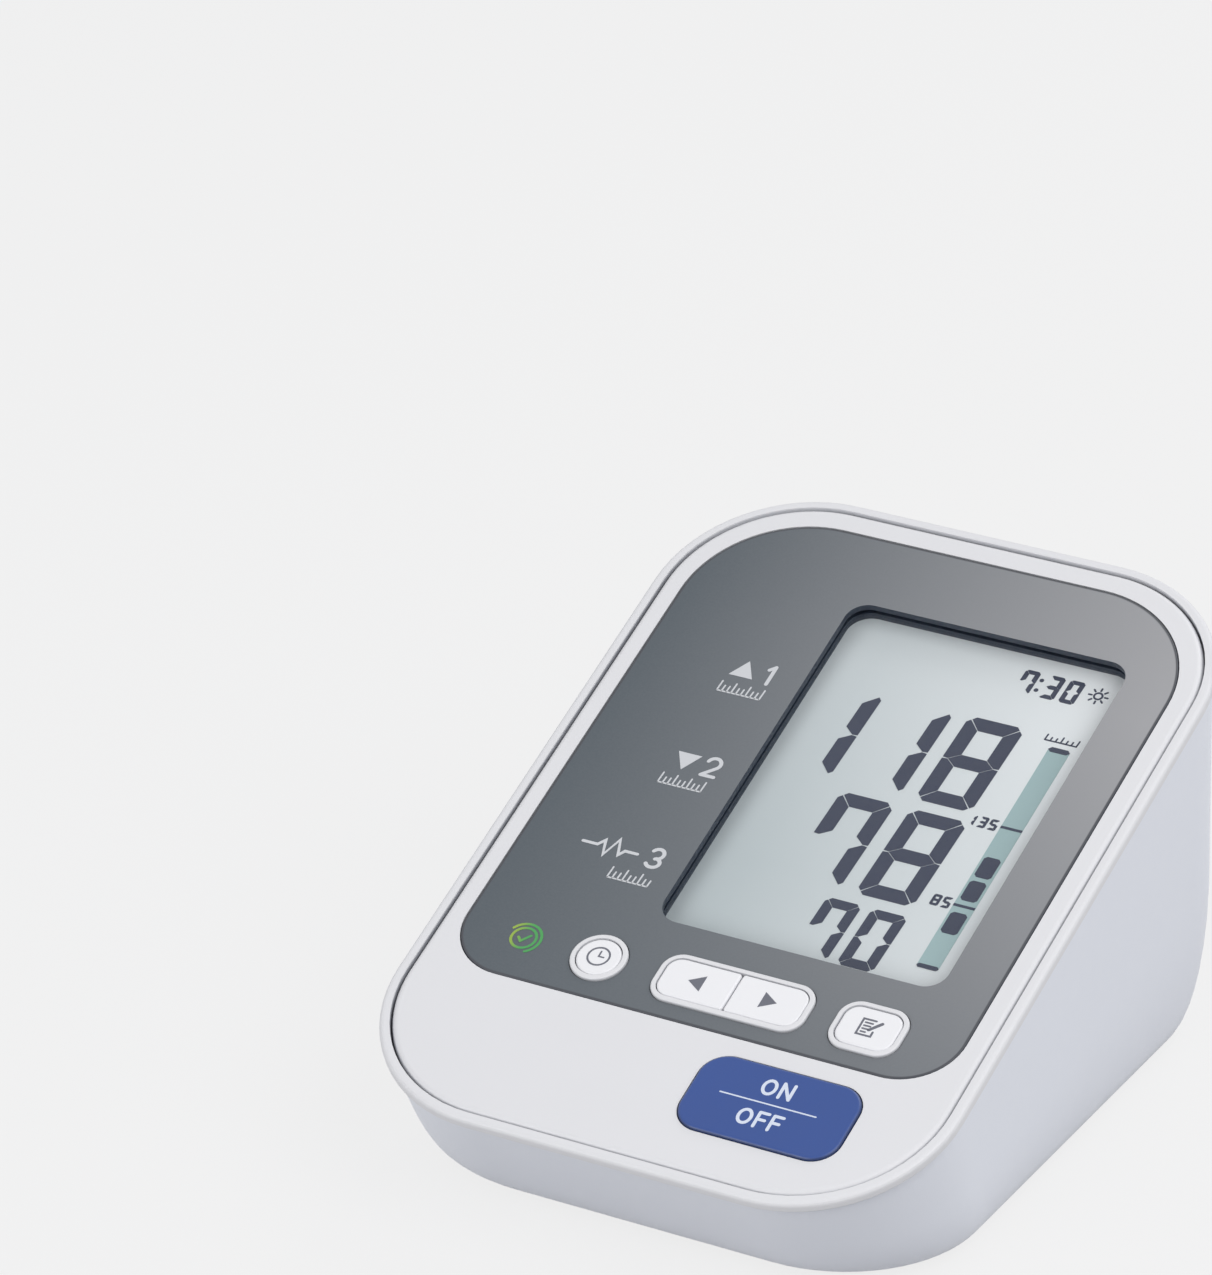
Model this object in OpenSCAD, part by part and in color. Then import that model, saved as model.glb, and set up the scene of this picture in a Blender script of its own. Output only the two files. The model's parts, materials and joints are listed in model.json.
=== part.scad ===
// Desktop blood pressure monitor: a wedge-shaped case with a sloping face, a large
// display window, five push buttons, four cells under a tilt-out door and the air
// system inside. Millimetres; +Z up, +Y to the back, +X right, base centre at the origin.

/* [Overall size] */
// Width over the rim
body_w = 107; // [103:1:112]
// Length of the sloping face over the rim
face_len = 151.8; // [149.8:0.5:156.8]
// Slope of the face from level, in degrees
tilt = 22; // [21:0.5:24]
// Height of the face at its front seam
front_h = 22.5; // [22.5:0.5:26]
// Gap between the case and the table
foot_gap = 1; // [0.6:0.1:1.6]

/* [Case shell] */
// Side wall thickness
wall = 2.2; // [1.8:0.1:2.6]
// Floor thickness
floor_t = 2.2; // [2:0.1:2.6]
// Width of the rounded rim outside the seam
rim_w = 1.9; // [1.6:0.1:2.2]
// Edge radius on top of the rim
rim_r = 0.9; // [0.6:0.1:1.2]
// Height of the rim bead over the wall
rim_drop = 2.4; // [2.2:0.1:2.8]
// How far the wall is set in under the rim bead
rim_step = 0.9; // [0.6:0.1:1.1]
// Corner radius of the seam
corner_r = 25.5; // [24:0.5:27]
// Corner radius of the base at the front
base_front_r = 25; // [23:1:27]
// Corner radius of the base at the back
base_rear_r = 18; // [15:1:19]
// How far the front wall leans in over its height
front_rake = 12.8; // [11:0.2:13.4]
// Extra tuck of the front wall at the base
front_tuck = 2; // [1:0.5:3]
// Tuck of the side walls at the base
side_tuck = 4.6; // [3:0.2:4.8]
// Tuck of the back wall at the base
rear_tuck = 6.4; // [4.6:0.3:6.7]

/* [Top cover] */
// Thickness of the cover plate
cover_t = 3; // [2.8:0.1:3.2]
// Radius of the cover's top edge
cover_edge_r = 1.2; // [0.8:0.1:1.4]
// Width of the seam between cover and rim
seam_gap = 0.3; // [0.2:0.05:0.4]
// Depth of the cover's side lips below the plate
lip_l = 3; // [2:0.5:4]
// Length of the front screw posts
front_post_l = 16; // [15:0.5:18]
// Length of the rear screw posts
rear_post_l = 34; // [30:1:38]

/* [Display panel] */
// Panel's distance from the side seams
panel_side = 4; // [3.4:0.1:4.4]
// Panel's distance from the front seam
panel_front = 29; // [28.4:0.2:29.6]
// Panel's distance from the rear seam
panel_rear = 4.7; // [4.2:0.5:7.2]
// Panel corner radius at the front
panel_front_r = 11; // [9.5:0.5:14]
// Panel corner radius at the back
panel_rear_r = 22; // [20:0.5:24]
// Panel thickness
panel_t = 1.2; // [1:0.1:1.4]
// Gap round the panel and round the buttons
fit_gap = 0.15; // [0.1:0.05:0.2]

/* [Display window] */
// Window width
window_w = 54; // [52:0.5:55.5]
// Window length along the slope
window_l = 78.5; // [74:0.5:79]
// Window centre to the right of the middle
window_u = 11; // [10:0.2:12]
// Window's distance from the front seam
window_front = 49.3; // [48.8:0.5:50.3]
// Window corner radius
window_r = 4; // [3:0.5:5]
// Thickness of the clear lens
lens_t = 1; // [0.8:0.1:1.1]
// Depth of the display glass below the face
lcd_depth = 3.7; // [3.5:0.1:4.2]
// Thickness of the display glass
lcd_t = 2.8; // [2.2:0.1:3]

/* [Buttons] */
// Start button width
start_w = 30; // [27:0.5:31]
// Start button length along the slope
start_l = 16.6; // [14:0.5:16.6]
// Start button centre, from the middle, in half widths of the seam
start_at = 0.43; // [0.39:0.01:0.44]
// Start button centre from the front seam
start_v = 17; // [16:0.2:17]
// Centre of the small button row from the front seam
row_v = 37.8; // [37.5:0.1:38]
// Clock button centre, from the middle, in half widths of the seam
clock_at = -0.401; // [-0.421:0.01:-0.391]
// Clock button radius
clock_r = 4; // [3.6:0.1:4.1]
// Middle of the arrow button pair, in half widths of the seam
arrows_at = 0.095; // [0.085:0.005:0.1]
// Width of the arrow button pair
arrows_w = 26.8; // [25:0.2:27]
// Memory button centre, from the middle, in half widths of the seam
memory_at = 0.591; // [0.586:0.001:0.596]
// Memory button width
memory_w = 10.8; // [9.4:0.2:11]
// Length of the arrow and memory buttons along the slope
key_l = 8.4; // [7.6:0.2:8.6]
// Corner radius of the arrow and memory buttons
key_r = 2.7; // [2:0.1:3]
// Width of the white collar round a small button
collar_w = 0.95; // [0.8:0.05:1]
// How far the collars and buttons stand out of the face
button_rise = 0.5; // [0.3:0.1:0.8]
// Button travel
travel = 0.5; // [0.3:0.05:0.6]
// Guide lamp centre, from the middle, in half widths of the seam
lamp_at = -0.686; // [-0.706:0.01:-0.676]
// Guide lamp radius
lamp_r = 3.2; // [2.6:0.1:3.4]

/* [Circuit board] */
// Depth of the board's top below the face
board_depth = 12; // [11.8:0.1:12.6]
// Board thickness
board_t = 1.6; // [1:0.1:1.6]
// Board width
board_w = 76; // [74:1:77]
// Board's distance from the front seam
board_front = 9; // [8:0.5:10]
// Board length
board_l = 118; // [114:1:119]
// Height of the switch bodies
switch_h = 3; // [2.6:0.1:3.2]

/* [Batteries] */
// Cell diameter
cell_d = 14.2; // [13.8:0.1:14.4]
// Cell length with its contact button
cell_l = 50.2; // [49.2:0.1:50.6]
// Space for a contact spring
spring_l = 4.6; // [4:0.2:5.4]
// Thickness of the contact plates
contact_t = 0.5; // [0.3:0.1:0.6]
// Battery door thickness
door_t = 2; // [1.6:0.1:2.2]
// Door's distance from the front edge of the base
door_inset = 14.2; // [13.6:0.2:15.6]
// Gap round the door
door_gap = 0.3; // [0.25:0.05:0.4]

/* [Air system] */
// Pump motor radius
motor_r = 11.5; // [11:0.5:12]
// Pump motor length
motor_l = 30; // [26:1:32]
// Radius of the pump head
head_r = 11; // [10.5:0.5:11.5]
// Rubber sleeve thickness
sleeve_t = 1.2; // [1:0.1:1.6]
// Motor shaft radius
shaft_r = 1; // [0.8:0.1:1.2]
// Radius of the hose nipples
nipple_r = 1.2; // [1.1:0.05:1.4]
// Outer radius of the hoses
hose_r = 2.4; // [2.1:0.1:2.6]
// Bore radius of the air socket
jack_bore_r = 4; // [3.5:0.1:4.4]
// Depth of the air socket
jack_bore_l = 11; // [9:0.5:12]
// Valve housing width
valve_w = 14; // [13:0.5:14.5]
// Valve plunger stroke
valve_stroke = 0.8; // [0.5:0.1:1]

/* [Power socket] */
// Power socket centre from the right side of the base
power_side = 30; // [29:1:34]
// Power socket height above the table
power_z = 13; // [12:0.5:14]
// Bore radius of the power socket
power_bore_r = 2.9; // [2.7:0.1:3.1]
// Radius of the power socket's centre pin
power_pin_r = 0.85; // [0.7:0.05:1]

/* [Fasteners] */
// Case screw shank radius
screw_r = 1.45; // [1.2:0.05:1.5]
// Board screw shank radius
board_screw_r = 1; // [0.8:0.05:1.1]
// Radius of a rubber foot
foot_r = 4.2; // [3.5:0.1:4.4]

/* [Hidden] */
$fn = 48;

// Running clearance between a shaft and its bore
run_gap = 0.05;
// Clearance between parts that rest on each other
seat_gap = 0.1;
// How far a piece reaches into the one that it is fused with
bite = 0.5;
// A cut runs past the face that it opens
over = 1;

// The seam outline and the face frame: u right, v up the slope from the front seam, h out
seam_hw = body_w / 2 - rim_w;
seam_l = face_len - 2 * rim_w;
bead_low = rim_drop - 0.6;
front_reach = (rim_w - rim_r) * cos(tilt) - rim_r * sin(tilt) + rim_r;
rear_reach = (seam_l + rim_w) * cos(tilt) + bead_low * sin(tilt);
face_y = (front_reach - rear_reach) / 2;
function to_y(v, h) = face_y + v * cos(tilt) - h * sin(tilt);
function to_z(v, h) = front_h + v * sin(tilt) + h * cos(tilt);
function to_v(y, z) = (y - face_y) * cos(tilt) + (z - front_h) * sin(tilt);
function to_h(y, z) = (z - front_h) * cos(tilt) - (y - face_y) * sin(tilt);
// Height of the plane at depth h over the place y
function plane_z(y, h) = front_h + (h + (y - face_y) * sin(tilt)) / cos(tilt);
module on_face() {
    translate([0, face_y, front_h]) rotate([tilt, 0, 0]) children();
}

// The case wall: its outline at the rim and how far it has moved in at k, from 0 to 1 down
base_z = foot_gap;
floor_z = base_z + floor_t;
wall_out = rim_w - rim_step;
wall_hw = seam_hw + wall_out;
wall_y0 = to_y(-wall_out, -rim_drop);
wall_y1 = to_y(seam_l + wall_out, -rim_drop);
side_draft = 0.4;
function tuck(amount, start, k) =
    let (q = max(0, (k - start) / (1 - start))) amount * (1 - sqrt(max(0, 1 - q * q)));
function front_in(k) = front_rake * k + tuck(front_tuck, 0.8, k);
function side_in(k) = side_draft * k + tuck(side_tuck - side_draft, 0.56, k);
function rear_in(k) = tuck(rear_tuck, 0.6, k);
function wall_k(y, z) = 1 - (z - base_z) / (plane_z(y, -rim_drop) - base_z);
function wall_x(y, z) = wall_hw - side_in(wall_k(y, z));
function rear_y(z) = wall_y1 - rear_in(wall_k(wall_y1, z));
base_y0 = wall_y0 + front_in(1);
base_y1 = wall_y1 - rear_in(1);
base_hw = wall_hw - side_in(1);

// Edge radii on top of the plates and buttons
panel_edge = 0.25;
collar_edge = 0.35;
arrow_edge = 0.4;
key_edge = 0.5;
start_edge = 0.7;

// The cover's side lips: where they start and how long they are, as shares of the seam's length
lip_from = [0.19, 0.54];
lip_share = 0.26;
lip_w = 1.2;

// Depths below the face
panel_seat = panel_t + 0.05;
lens_seat = panel_seat + lens_t + 0.05;
lens_lap = 1.5;
lcd_lap = 1.5;
under_lens = 0.3;
frame_t = 1.4;
flange_t = 1;
flange_w = 0.8;
flange_h1 = -cover_t - seat_gap;
flange_h0 = flange_h1 - flange_t;
stem_end = board_depth - switch_h - 0.8;
plunger_r = 1.7;
plunger_l = 1.8;
stem_r = 1.4;

// Small button outlines, each [u0, u1] with the row's length
row_v0 = row_v - key_l / 2;
row_v1 = row_v + key_l / 2;
arrow_split = 0.15;
start_r = 5;
start_u = start_at * seam_hw;
clock_u = clock_at * seam_hw;
arrows_u = arrows_at * seam_hw;
memory_u = memory_at * seam_hw;
lamp_u = lamp_at * seam_hw;
arrow_in_r = 0.5;
switch_w = 6;
// Small buttons as [u0, u1, v0, v1, corner radius], the clock button first
keys = [[clock_u - clock_r, clock_u + clock_r, row_v - clock_r, row_v + clock_r, clock_r],
    [arrows_u - arrows_w / 2, arrows_u + arrows_w / 2, row_v0, row_v1, key_r],
    [memory_u - memory_w / 2, memory_u + memory_w / 2, row_v0, row_v1, key_r]];
// Switch places: start, clock, back, forward, memory
switch_at = [[start_u, start_v], [clock_u, row_v],
    [(keys[1][0] + arrows_u - arrow_split) / 2, row_v], [(keys[1][1] + arrows_u + arrow_split) / 2, row_v],
    [memory_u, row_v]];
// Chips below the board as [u, v, width, length, height]
chips = [[2, 72, 14, 14, 1.6], [-20, 78, 5, 6, 1.4], [22, 70, 6, 5, 1.4], [-24, 46, 8, 4, 2.4],
    [12, 92, 4, 9, 2]];
lamp_led_h = 2;
lamp_led_w = 3.2;
lamp_lens_r = 1.2;
board_head_r = 1.9;
board_head_t = 1.2;
board_screw_l = 6;
board_hole_l = 7;
buzzer_r = 6;
buzzer_t = 5.5;
buzzer_side = 14;
buzzer_rear = 27;
sensor_w = 9;
strip_w = 1.8;
strip_in = 0.4;
lcd_step = 2.4;

// Window outline
window_u0 = window_u - window_w / 2;
window_u1 = window_u + window_w / 2;
window_v1 = window_front + window_l;

// Battery bay and door
cells = 4;
cell_pitch = cell_d + 0.8;
cell_r = cell_d / 2;
bay_w = cells * cell_pitch + 0.4;
bay_l = cell_l + spring_l + 2 * contact_t + 0.4;
bay_wall = 1.4;
door_y0 = base_y0 + door_inset;
door_front = 4.8;
bay_y0 = door_y0 + door_front;
bay_y1 = bay_y0 + bay_l;
bay_mid = (bay_y0 + bay_y1) / 2;
cell_shift = spring_l / 2 - 0.1;
spring_wire = 0.35;
spring_r0 = 4.6;
spring_r1 = 2.6;
spring_turns = 3.5;
plate_w = cell_d - 3.2;
plate_h = cell_d - 2.2;
door_y1 = bay_y1 + 3;
door_hw = bay_w / 2 + 3;
door_r = 4;
seat_z = base_z + door_t + seat_gap;
seat_t = 1.6;
ledge_w = 2;
cell_z = seat_z + 0.5 + cell_r;
bay_top = cell_z + cell_r + 0.3;
tab_x = 18;
tab_w = 9;
tab_l = 2.4;
tab_t = 1.2;
tab_gap = 0.3;
tab_room = 4.6;
grip_w = 12;
grip_l = 1.6;
grip_t = 0.9;
grip_room = 1.6;
rib_t = 1.2;
rib_h = 0.3;
ridges = 5;
ridge_pitch = 2.4;

// Screws and posts
post_r = 3;
post_run = 4;
post_gap = 0.25;
boss_r = 3.9;
head_hole_r = screw_r + 1.3;
head_t = 2;
web_t = 3;
screw_l = 13;
slot_l = 4;
slot_w = 0.6;
slot_t = 0.8;
front_boss = [base_hw - 6, door_y0 + 4];
rear_boss = [base_hw - base_rear_r, base_y1 - boss_r + 0.2];
function boss_top(y, post_l) = plane_z(y, -cover_t) - post_l;
board_side = 5 - board_w / 2;
board_posts = [[board_side, board_front + 5], [board_side, board_front + 55],
    [board_side, board_front + board_l - 7], [4, 29.1],
    [min(board_w / 2 - 4, front_boss[0] - 8), 29.1]];
board_post_r = 2;
board_gap = 0.8;
feet = [[base_hw - 18, base_y0 + 8.2], [base_hw - 7.8, base_y1 - 15.6]];
foot_sink = 0.4;

// Pump, valve and hoses
pump_y = bay_y1 + bay_wall + sleeve_t + motor_r + 3.5;
pump_z = floor_z + sleeve_t + motor_r + 0.6;
head_l = 16;
cap_l = 7;
sleeve_l = 18;
cradle_t = 3;
hub_r = 5;
hub_l = 1.5;
crank_r = 5;
crank_t = 3;
pin_off = 2.5;
pin_r = 1;
pin_l = 4;
head_wall = 2;
plate_t = 3;
disc_t = 1;
nipple_l = 2.6;
air_bore_r = 0.6;
hose_gap = 0.2;
manifold_r = 2.6;
manifold_l = 10;
air_y = pump_y;
air_z = pump_z + head_r + 2 * nipple_l + 0.8 + manifold_r;
air_h = to_h(air_y, air_z);
jack_r = jack_bore_r + 2.3;
jack_end = 5;
jack_face = wall_x(air_y, air_z) - 0.8;
jack_in = jack_face - jack_bore_l - jack_end;
valve_x = -jack_in - nipple_r - 0.3;
air_x = max(valve_x + (valve_w + cap_l) / 2 + 1.7, 2 * nipple_l + manifold_l / 2 + 0.4 - jack_in);
cap_x = air_x - cap_l / 2;
head_x = cap_x + cap_l;
motor_x = head_x + head_l;
sleeve_x = motor_x + 5;
crank_x = motor_x - hub_l - 0.5 - crank_t;
plate_x = crank_x - pin_l - 0.4;
valve_z = floor_z + seat_gap;
valve_h = 20;
pocket_t = 1.2;
pocket_h = 5;
valve_bore_r = 3;
valve_spring_l = valve_stroke + 3.2;
plunger_z0 = 3;
plunger_h = 9;
spring_z1 = plunger_z0 + plunger_h + valve_spring_l;
port_top = air_z - jack_r - nipple_l - 0.8 - valve_z;
sensor_t = 3.4;
sensor_x = air_x + 2.4;
branch_r = 0.5;
bleed_r = 3.2;
bleed_l = 9;
bleed_hole_r = 0.3;
flange_r = 1.6;

// Power socket
power_x = base_hw - power_side;
power_r = power_bore_r + 1.2;
socket_w = 2 * power_r + 1.8;
socket_h = 2 * power_r + 2.8;
power_face = rear_y(power_z - power_r - 1.2) - 0.3;
power_end = power_face - wall - 1.1;
power_l = 11.5;
power_depth = 9;

// Straight lengths in a quarter of a corner of the case
outline_n = 16;
// One quarter of an outline about [cx, cy], from angle a0
function quarter(cx, cy, rx, ry, a0) =
    [for (i = [0:outline_n]) let (a = a0 + 90 * i / outline_n) [cx + rx * cos(a), cy + ry * sin(a)]];
// Rounded rectangle with corner radii r0 at the front and r1 at the back, flattened by q in y
function outline(hw, y0, y1, r0, r1, q) = concat(
    quarter(hw - r0, y0 + r0 * q, r0, r0 * q, -90), quarter(hw - r1, y1 - r1 * q, r1, r1 * q, 0),
    quarter(r1 - hw, y1 - r1 * q, r1, r1 * q, 90), quarter(r0 - hw, y0 + r0 * q, r0, r0 * q, 180));
// A ring of the rim in the face frame, moved out by g at depth h
function rim_ring(g, h) =
    [for (p = outline(seam_hw + g, -g, seam_l + g, corner_r + g, corner_r + g, 1))
        [p[0], to_y(p[1], h), to_z(p[1], h)]];
// A ring of the wall at k, moved in by g, over a floor at z0
function wall_ring(k, g, z0) =
    let (r0 = corner_r + wall_out + (base_front_r - corner_r - wall_out) * k,
        r1 = corner_r + wall_out + (base_rear_r - corner_r - wall_out) * k,
        q = cos(tilt) + (1 - cos(tilt)) * k,
        o = outline(wall_hw - side_in(k) - g, wall_y0 + front_in(k) + g,
            wall_y1 - rear_in(k) - g, r0 - g, r1 - g, q),
        t = outline(wall_hw, wall_y0, wall_y1, corner_r + wall_out, corner_r + wall_out, cos(tilt)))
    [for (i = [0:len(o) - 1])
        [o[i][0], o[i][1], z0 + (plane_z(t[i][1], -rim_drop) - z0) * (1 - k)]];
// A closed solid through rings that all have the same number of points, from the top down
module loft(rings) {
    n = len(rings[0]);
    m = len(rings);
    polyhedron(points = [for (r = rings) for (p = r) p], faces = concat(
        [[for (j = [n - 1:-1:0]) j]], [[for (j = [0:n - 1]) (m - 1) * n + j]],
        [for (i = [0:m - 2]) for (j = [0:n - 1])
            [i * n + j, i * n + (j + 1) % n, (i + 1) * n + (j + 1) % n]],
        [for (i = [0:m - 2]) for (j = [0:n - 1])
            [i * n + j, (i + 1) * n + (j + 1) % n, (i + 1) * n + j]]),
        convexity = 6);
}

// Flat outline with its own radius at each corner: front left, front right, back right, back left
module box2d(u0, u1, v0, v1, r) {
    polygon([[u0 + r[0], v0], [u1 - r[1], v0], [u1, v0 + r[1]], [u1, v1 - r[2]],
        [u1 - r[2], v1], [u0 + r[3], v1], [u0, v1 - r[3]], [u0, v0 + r[0]]]);
    translate([u0 + r[0], v0 + r[0]]) circle(r[0]);
    translate([u1 - r[1], v0 + r[1]]) circle(r[1]);
    translate([u1 - r[2], v1 - r[2]]) circle(r[2]);
    translate([u0 + r[3], v1 - r[3]]) circle(r[3]);
}
// Plate from h0 up to h1
module slab(u0, u1, v0, v1, r, h0, h1) {
    translate([0, 0, h0]) linear_extrude(h1 - h0) box2d(u0, u1, v0, v1, r);
}
// The band round an outline: the children's profile, with x = 0 on the outline
module band(u0, u1, v0, v1, r) {
    corners = [[u0 + r[0], v0 + r[0], r[0], 180], [u1 - r[1], v0 + r[1], r[1], 270],
        [u1 - r[2], v1 - r[2], r[2], 0], [u0 + r[3], v1 - r[3], r[3], 90]];
    for (c = corners) translate([c[0], c[1], 0]) rotate([0, 0, c[3]])
        rotate_extrude(angle = 90) translate([c[2], 0]) children();
    sides = [[u0 + r[0], u1 - r[1], v0, 270], [v0 + r[1], v1 - r[2], u1, 0],
        [u0 + r[3], u1 - r[2], v1, 90], [v0 + r[0], v1 - r[3], u0, 180]];
    for (s = sides) {
        mid = (s[0] + s[1]) / 2;
        across = s[3] == 0 || s[3] == 180;
        translate(across ? [s[2], mid, 0] : [mid, s[2], 0]) rotate([0, 0, s[3]]) rotate([90, 0, 0])
            linear_extrude(s[1] - s[0], center = true) children();
    }
}
// Plate from h0 up to h1 whose top edge is rounded by e
module soft_slab(u0, u1, v0, v1, r, h0, h1, e) {
    slab(u0 + e, u1 - e, v0 + e, v1 - e, [for (c = r) c - e], h0, h1);
    band(u0, u1, v0, v1, r) {
        translate([-e, h0]) square([e, h1 - e - h0]);
        intersection() {
            translate([-e, h1 - e]) circle(e, $fn = 32);
            translate([-e, h1 - e - e / 2]) square([e, e * 1.5]);
        }
    }
}
// Cylinder along X from x0 to x1
module rod_x(x0, x1, r) {
    translate([x0, 0, 0]) rotate([0, 90, 0]) cylinder(h = x1 - x0, r = r);
}
// Cylinder along Y from y0 to y1
module rod_y(y0, y1, r) {
    translate([0, y0, 0]) rotate([-90, 0, 0]) cylinder(h = y1 - y0, r = r);
}
// The case as a solid block, with the seat of the cover sunk into its top
module case_outside() {
    arc = [for (a = [90:-22.5:0]) [rim_w - rim_r + rim_r * cos(a), rim_r * sin(a) - rim_r]];
    seat = [[0, -cover_t - 0.05], [0, 0]];
    bead = concat(seat, arc, [[rim_w, -bead_low], [rim_w - 0.3, -rim_drop + 0.15]]);
    loft(concat([for (b = bead) rim_ring(b[0], b[1])],
        [for (k = [0, 0.14, 0.3, 0.46, 0.6, 0.7, 0.78, 0.84, 0.89, 0.93, 0.965, 0.99, 1])
            wall_ring(k, 0, base_z)]));
}
module case_inside() {
    loft([for (k = [0, 0.3, 0.55, 0.7, 0.82, 0.92, 1]) wall_ring(k, wall, floor_z)]);
}
module battery_bay_walls() {
    translate([-door_hw - ledge_w, door_y0 - ledge_w, base_z + bite])
        cube([2 * (door_hw + ledge_w), door_y1 - door_y0 + 2 * ledge_w, seat_z + seat_t - base_z - bite]);
    translate([-bay_w / 2 - bay_wall, bay_y0 - bay_wall, base_z + bite])
        cube([bay_w + 2 * bay_wall, bay_l + 2 * bay_wall, bay_top + bay_wall - base_z - bite]);
}
module battery_bay_space() {
    tab_y0 = door_y0 - tab_l - door_gap - 2 * tab_gap;
    translate([0, 0, base_z - over])
        slab(-door_hw - door_gap, door_hw + door_gap, door_y0 - door_gap, door_y1 + door_gap,
            [door_r, door_r, door_r, door_r], 0, seat_z - base_z + over);
    translate([-bay_w / 2, bay_y0, base_z]) cube([bay_w, bay_l, bay_top - base_z]);
    for (s = [-1, 1]) translate([s * tab_x - tab_w / 2 - tab_gap, tab_y0, base_z + door_t])
        cube([tab_w + 2 * tab_gap, tab_l + door_gap + 3.8, tab_room]);
    translate([-grip_w / 2 - 1, door_y1 - over, base_z - over]) cube([grip_w + 2, 3, grip_room + over]);
}
module pump_cradle() {
    for (x = [sleeve_x + 2, sleeve_x + sleeve_l - 2 - cradle_t]) difference() {
        translate([x, pump_y - motor_r, base_z + bite]) cube([cradle_t, 2 * motor_r, pump_z - base_z - 4]);
        on_pump() rod_x(x - over, x + cradle_t + over, motor_r + sleeve_t + seat_gap);
    }
}
module valve_cradle() {
    s = valve_w + 0.4;
    translate([valve_x, pump_y, floor_z - bite]) difference() {
        translate([-s / 2 - pocket_t, -s / 2 - pocket_t, 0])
            cube([s + 2 * pocket_t, s + 2 * pocket_t, pocket_h]);
        translate([-s / 2, -s / 2, bite]) cube([s, s, pocket_h + over]);
    }
}
module base_case() color("gainsboro") difference() {
    union() {
        difference() {
            case_outside();
            case_inside();
        }
        battery_bay_walls();
        pump_cradle();
        valve_cradle();
        for (s = [-1, 1]) {
            translate([s * front_boss[0], front_boss[1], base_z + bite])
                cylinder(h = boss_top(front_boss[1], front_post_l) - base_z - bite, r = boss_r);
            translate([s * rear_boss[0], rear_boss[1], base_z + bite])
                cylinder(h = boss_top(rear_boss[1], rear_post_l) - base_z - bite, r = boss_r);
        }
    }
    battery_bay_space();
    for (s = [-1, 1]) {
        boss_holes(s * front_boss[0], front_boss[1], front_post_l);
        boss_holes(s * rear_boss[0], rear_boss[1], rear_post_l);
        for (f = feet) translate([s * f[0], f[1], base_z - over])
            cylinder(h = over + foot_sink, r = foot_r + seat_gap);
    }
    translate([0, air_y, air_z]) {
        rod_x(-wall_hw - 2, -jack_face, jack_r + 1);
        rod_x(-wall_hw - 2, -jack_face + 2 * wall, jack_r + seat_gap);
    }
    translate([power_x, 0, power_z]) {
        rod_y(power_face, base_y1 + 20, power_r + 1.2);
        rod_y(power_face - 2 * wall, power_face + over, power_r + seat_gap);
    }
}
module boss_holes(x, y, post_l) {
    top = boss_top(y, post_l);
    translate([x, y, base_z - over]) cylinder(h = top - web_t - base_z + over, r = head_hole_r);
    translate([x, y, base_z]) cylinder(h = top, r = screw_r + 0.25);
}

// A small button's outline grown by g, as a solid from h0 up to h1
module key_box(k, g, h0, h1) {
    round_key = k[1] - k[0] <= 2 * k[4];
    if (round_key) translate([k[0] + k[4], k[2] + k[4], h0]) cylinder(h = h1 - h0, r = k[4] + g);
    else slab(k[0] - g, k[1] + g, k[2] - g, k[3] + g, [for (i = [0:3]) k[4] + g], h0, h1);
}
// The same, with its top edge rounded by e
module key_solid(k, g, h0, h1, e) {
    round_key = k[1] - k[0] <= 2 * k[4];
    if (round_key) translate([k[0] + k[4], k[2] + k[4], 0]) soft_disc(k[4] + g, h0, h1, e);
    else soft_slab(k[0] - g, k[1] + g, k[2] - g, k[3] + g, [for (i = [0:3]) k[4] + g], h0, h1, e);
}
module soft_disc(r, h0, h1, e) {
    rotate_extrude() union() {
        translate([0, h0]) square([r - e, h1 - h0]);
        translate([0, h0]) square([r, h1 - e - h0]);
        translate([r - e, h1 - e]) circle(e, $fn = 32);
    }
}
module window_box(g, h0, h1) {
    slab(window_u0 - g, window_u1 + g, window_front - g, window_v1 + g,
        [for (i = [0:3]) window_r + g], h0, h1);
}
module start_box(g, h0, h1) {
    slab(start_u - start_w / 2 - g, start_u + start_w / 2 + g, start_v - start_l / 2 - g,
        start_v + start_l / 2 + g, [for (i = [0:3]) start_r + g], h0, h1);
}

module side_lips() {
    x = wall_hw - wall - 0.2;
    for (s = [-1, 1]) for (v = lip_from)
        translate([s > 0 ? x - lip_w : -x, seam_l * v, -cover_t - lip_l])
            cube([lip_w, seam_l * lip_share, lip_l + bite]);
}
module case_posts() {
    for (s = [-1, 1]) for (b = [[front_boss, front_post_l], [rear_boss, rear_post_l]]) {
        z = boss_top(b[0][1], b[1]) + seat_gap;
        difference() {
            translate([s * b[0][0], b[0][1], z]) cylinder(h = b[1] + post_run, r = post_r);
            translate([s * b[0][0], b[0][1], z - over]) cylinder(h = screw_l, r = screw_r + run_gap);
            on_face() translate([-body_w, 0, bite - cover_t]) cube([2 * body_w, 2 * face_len, 20]);
        }
    }
}
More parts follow.
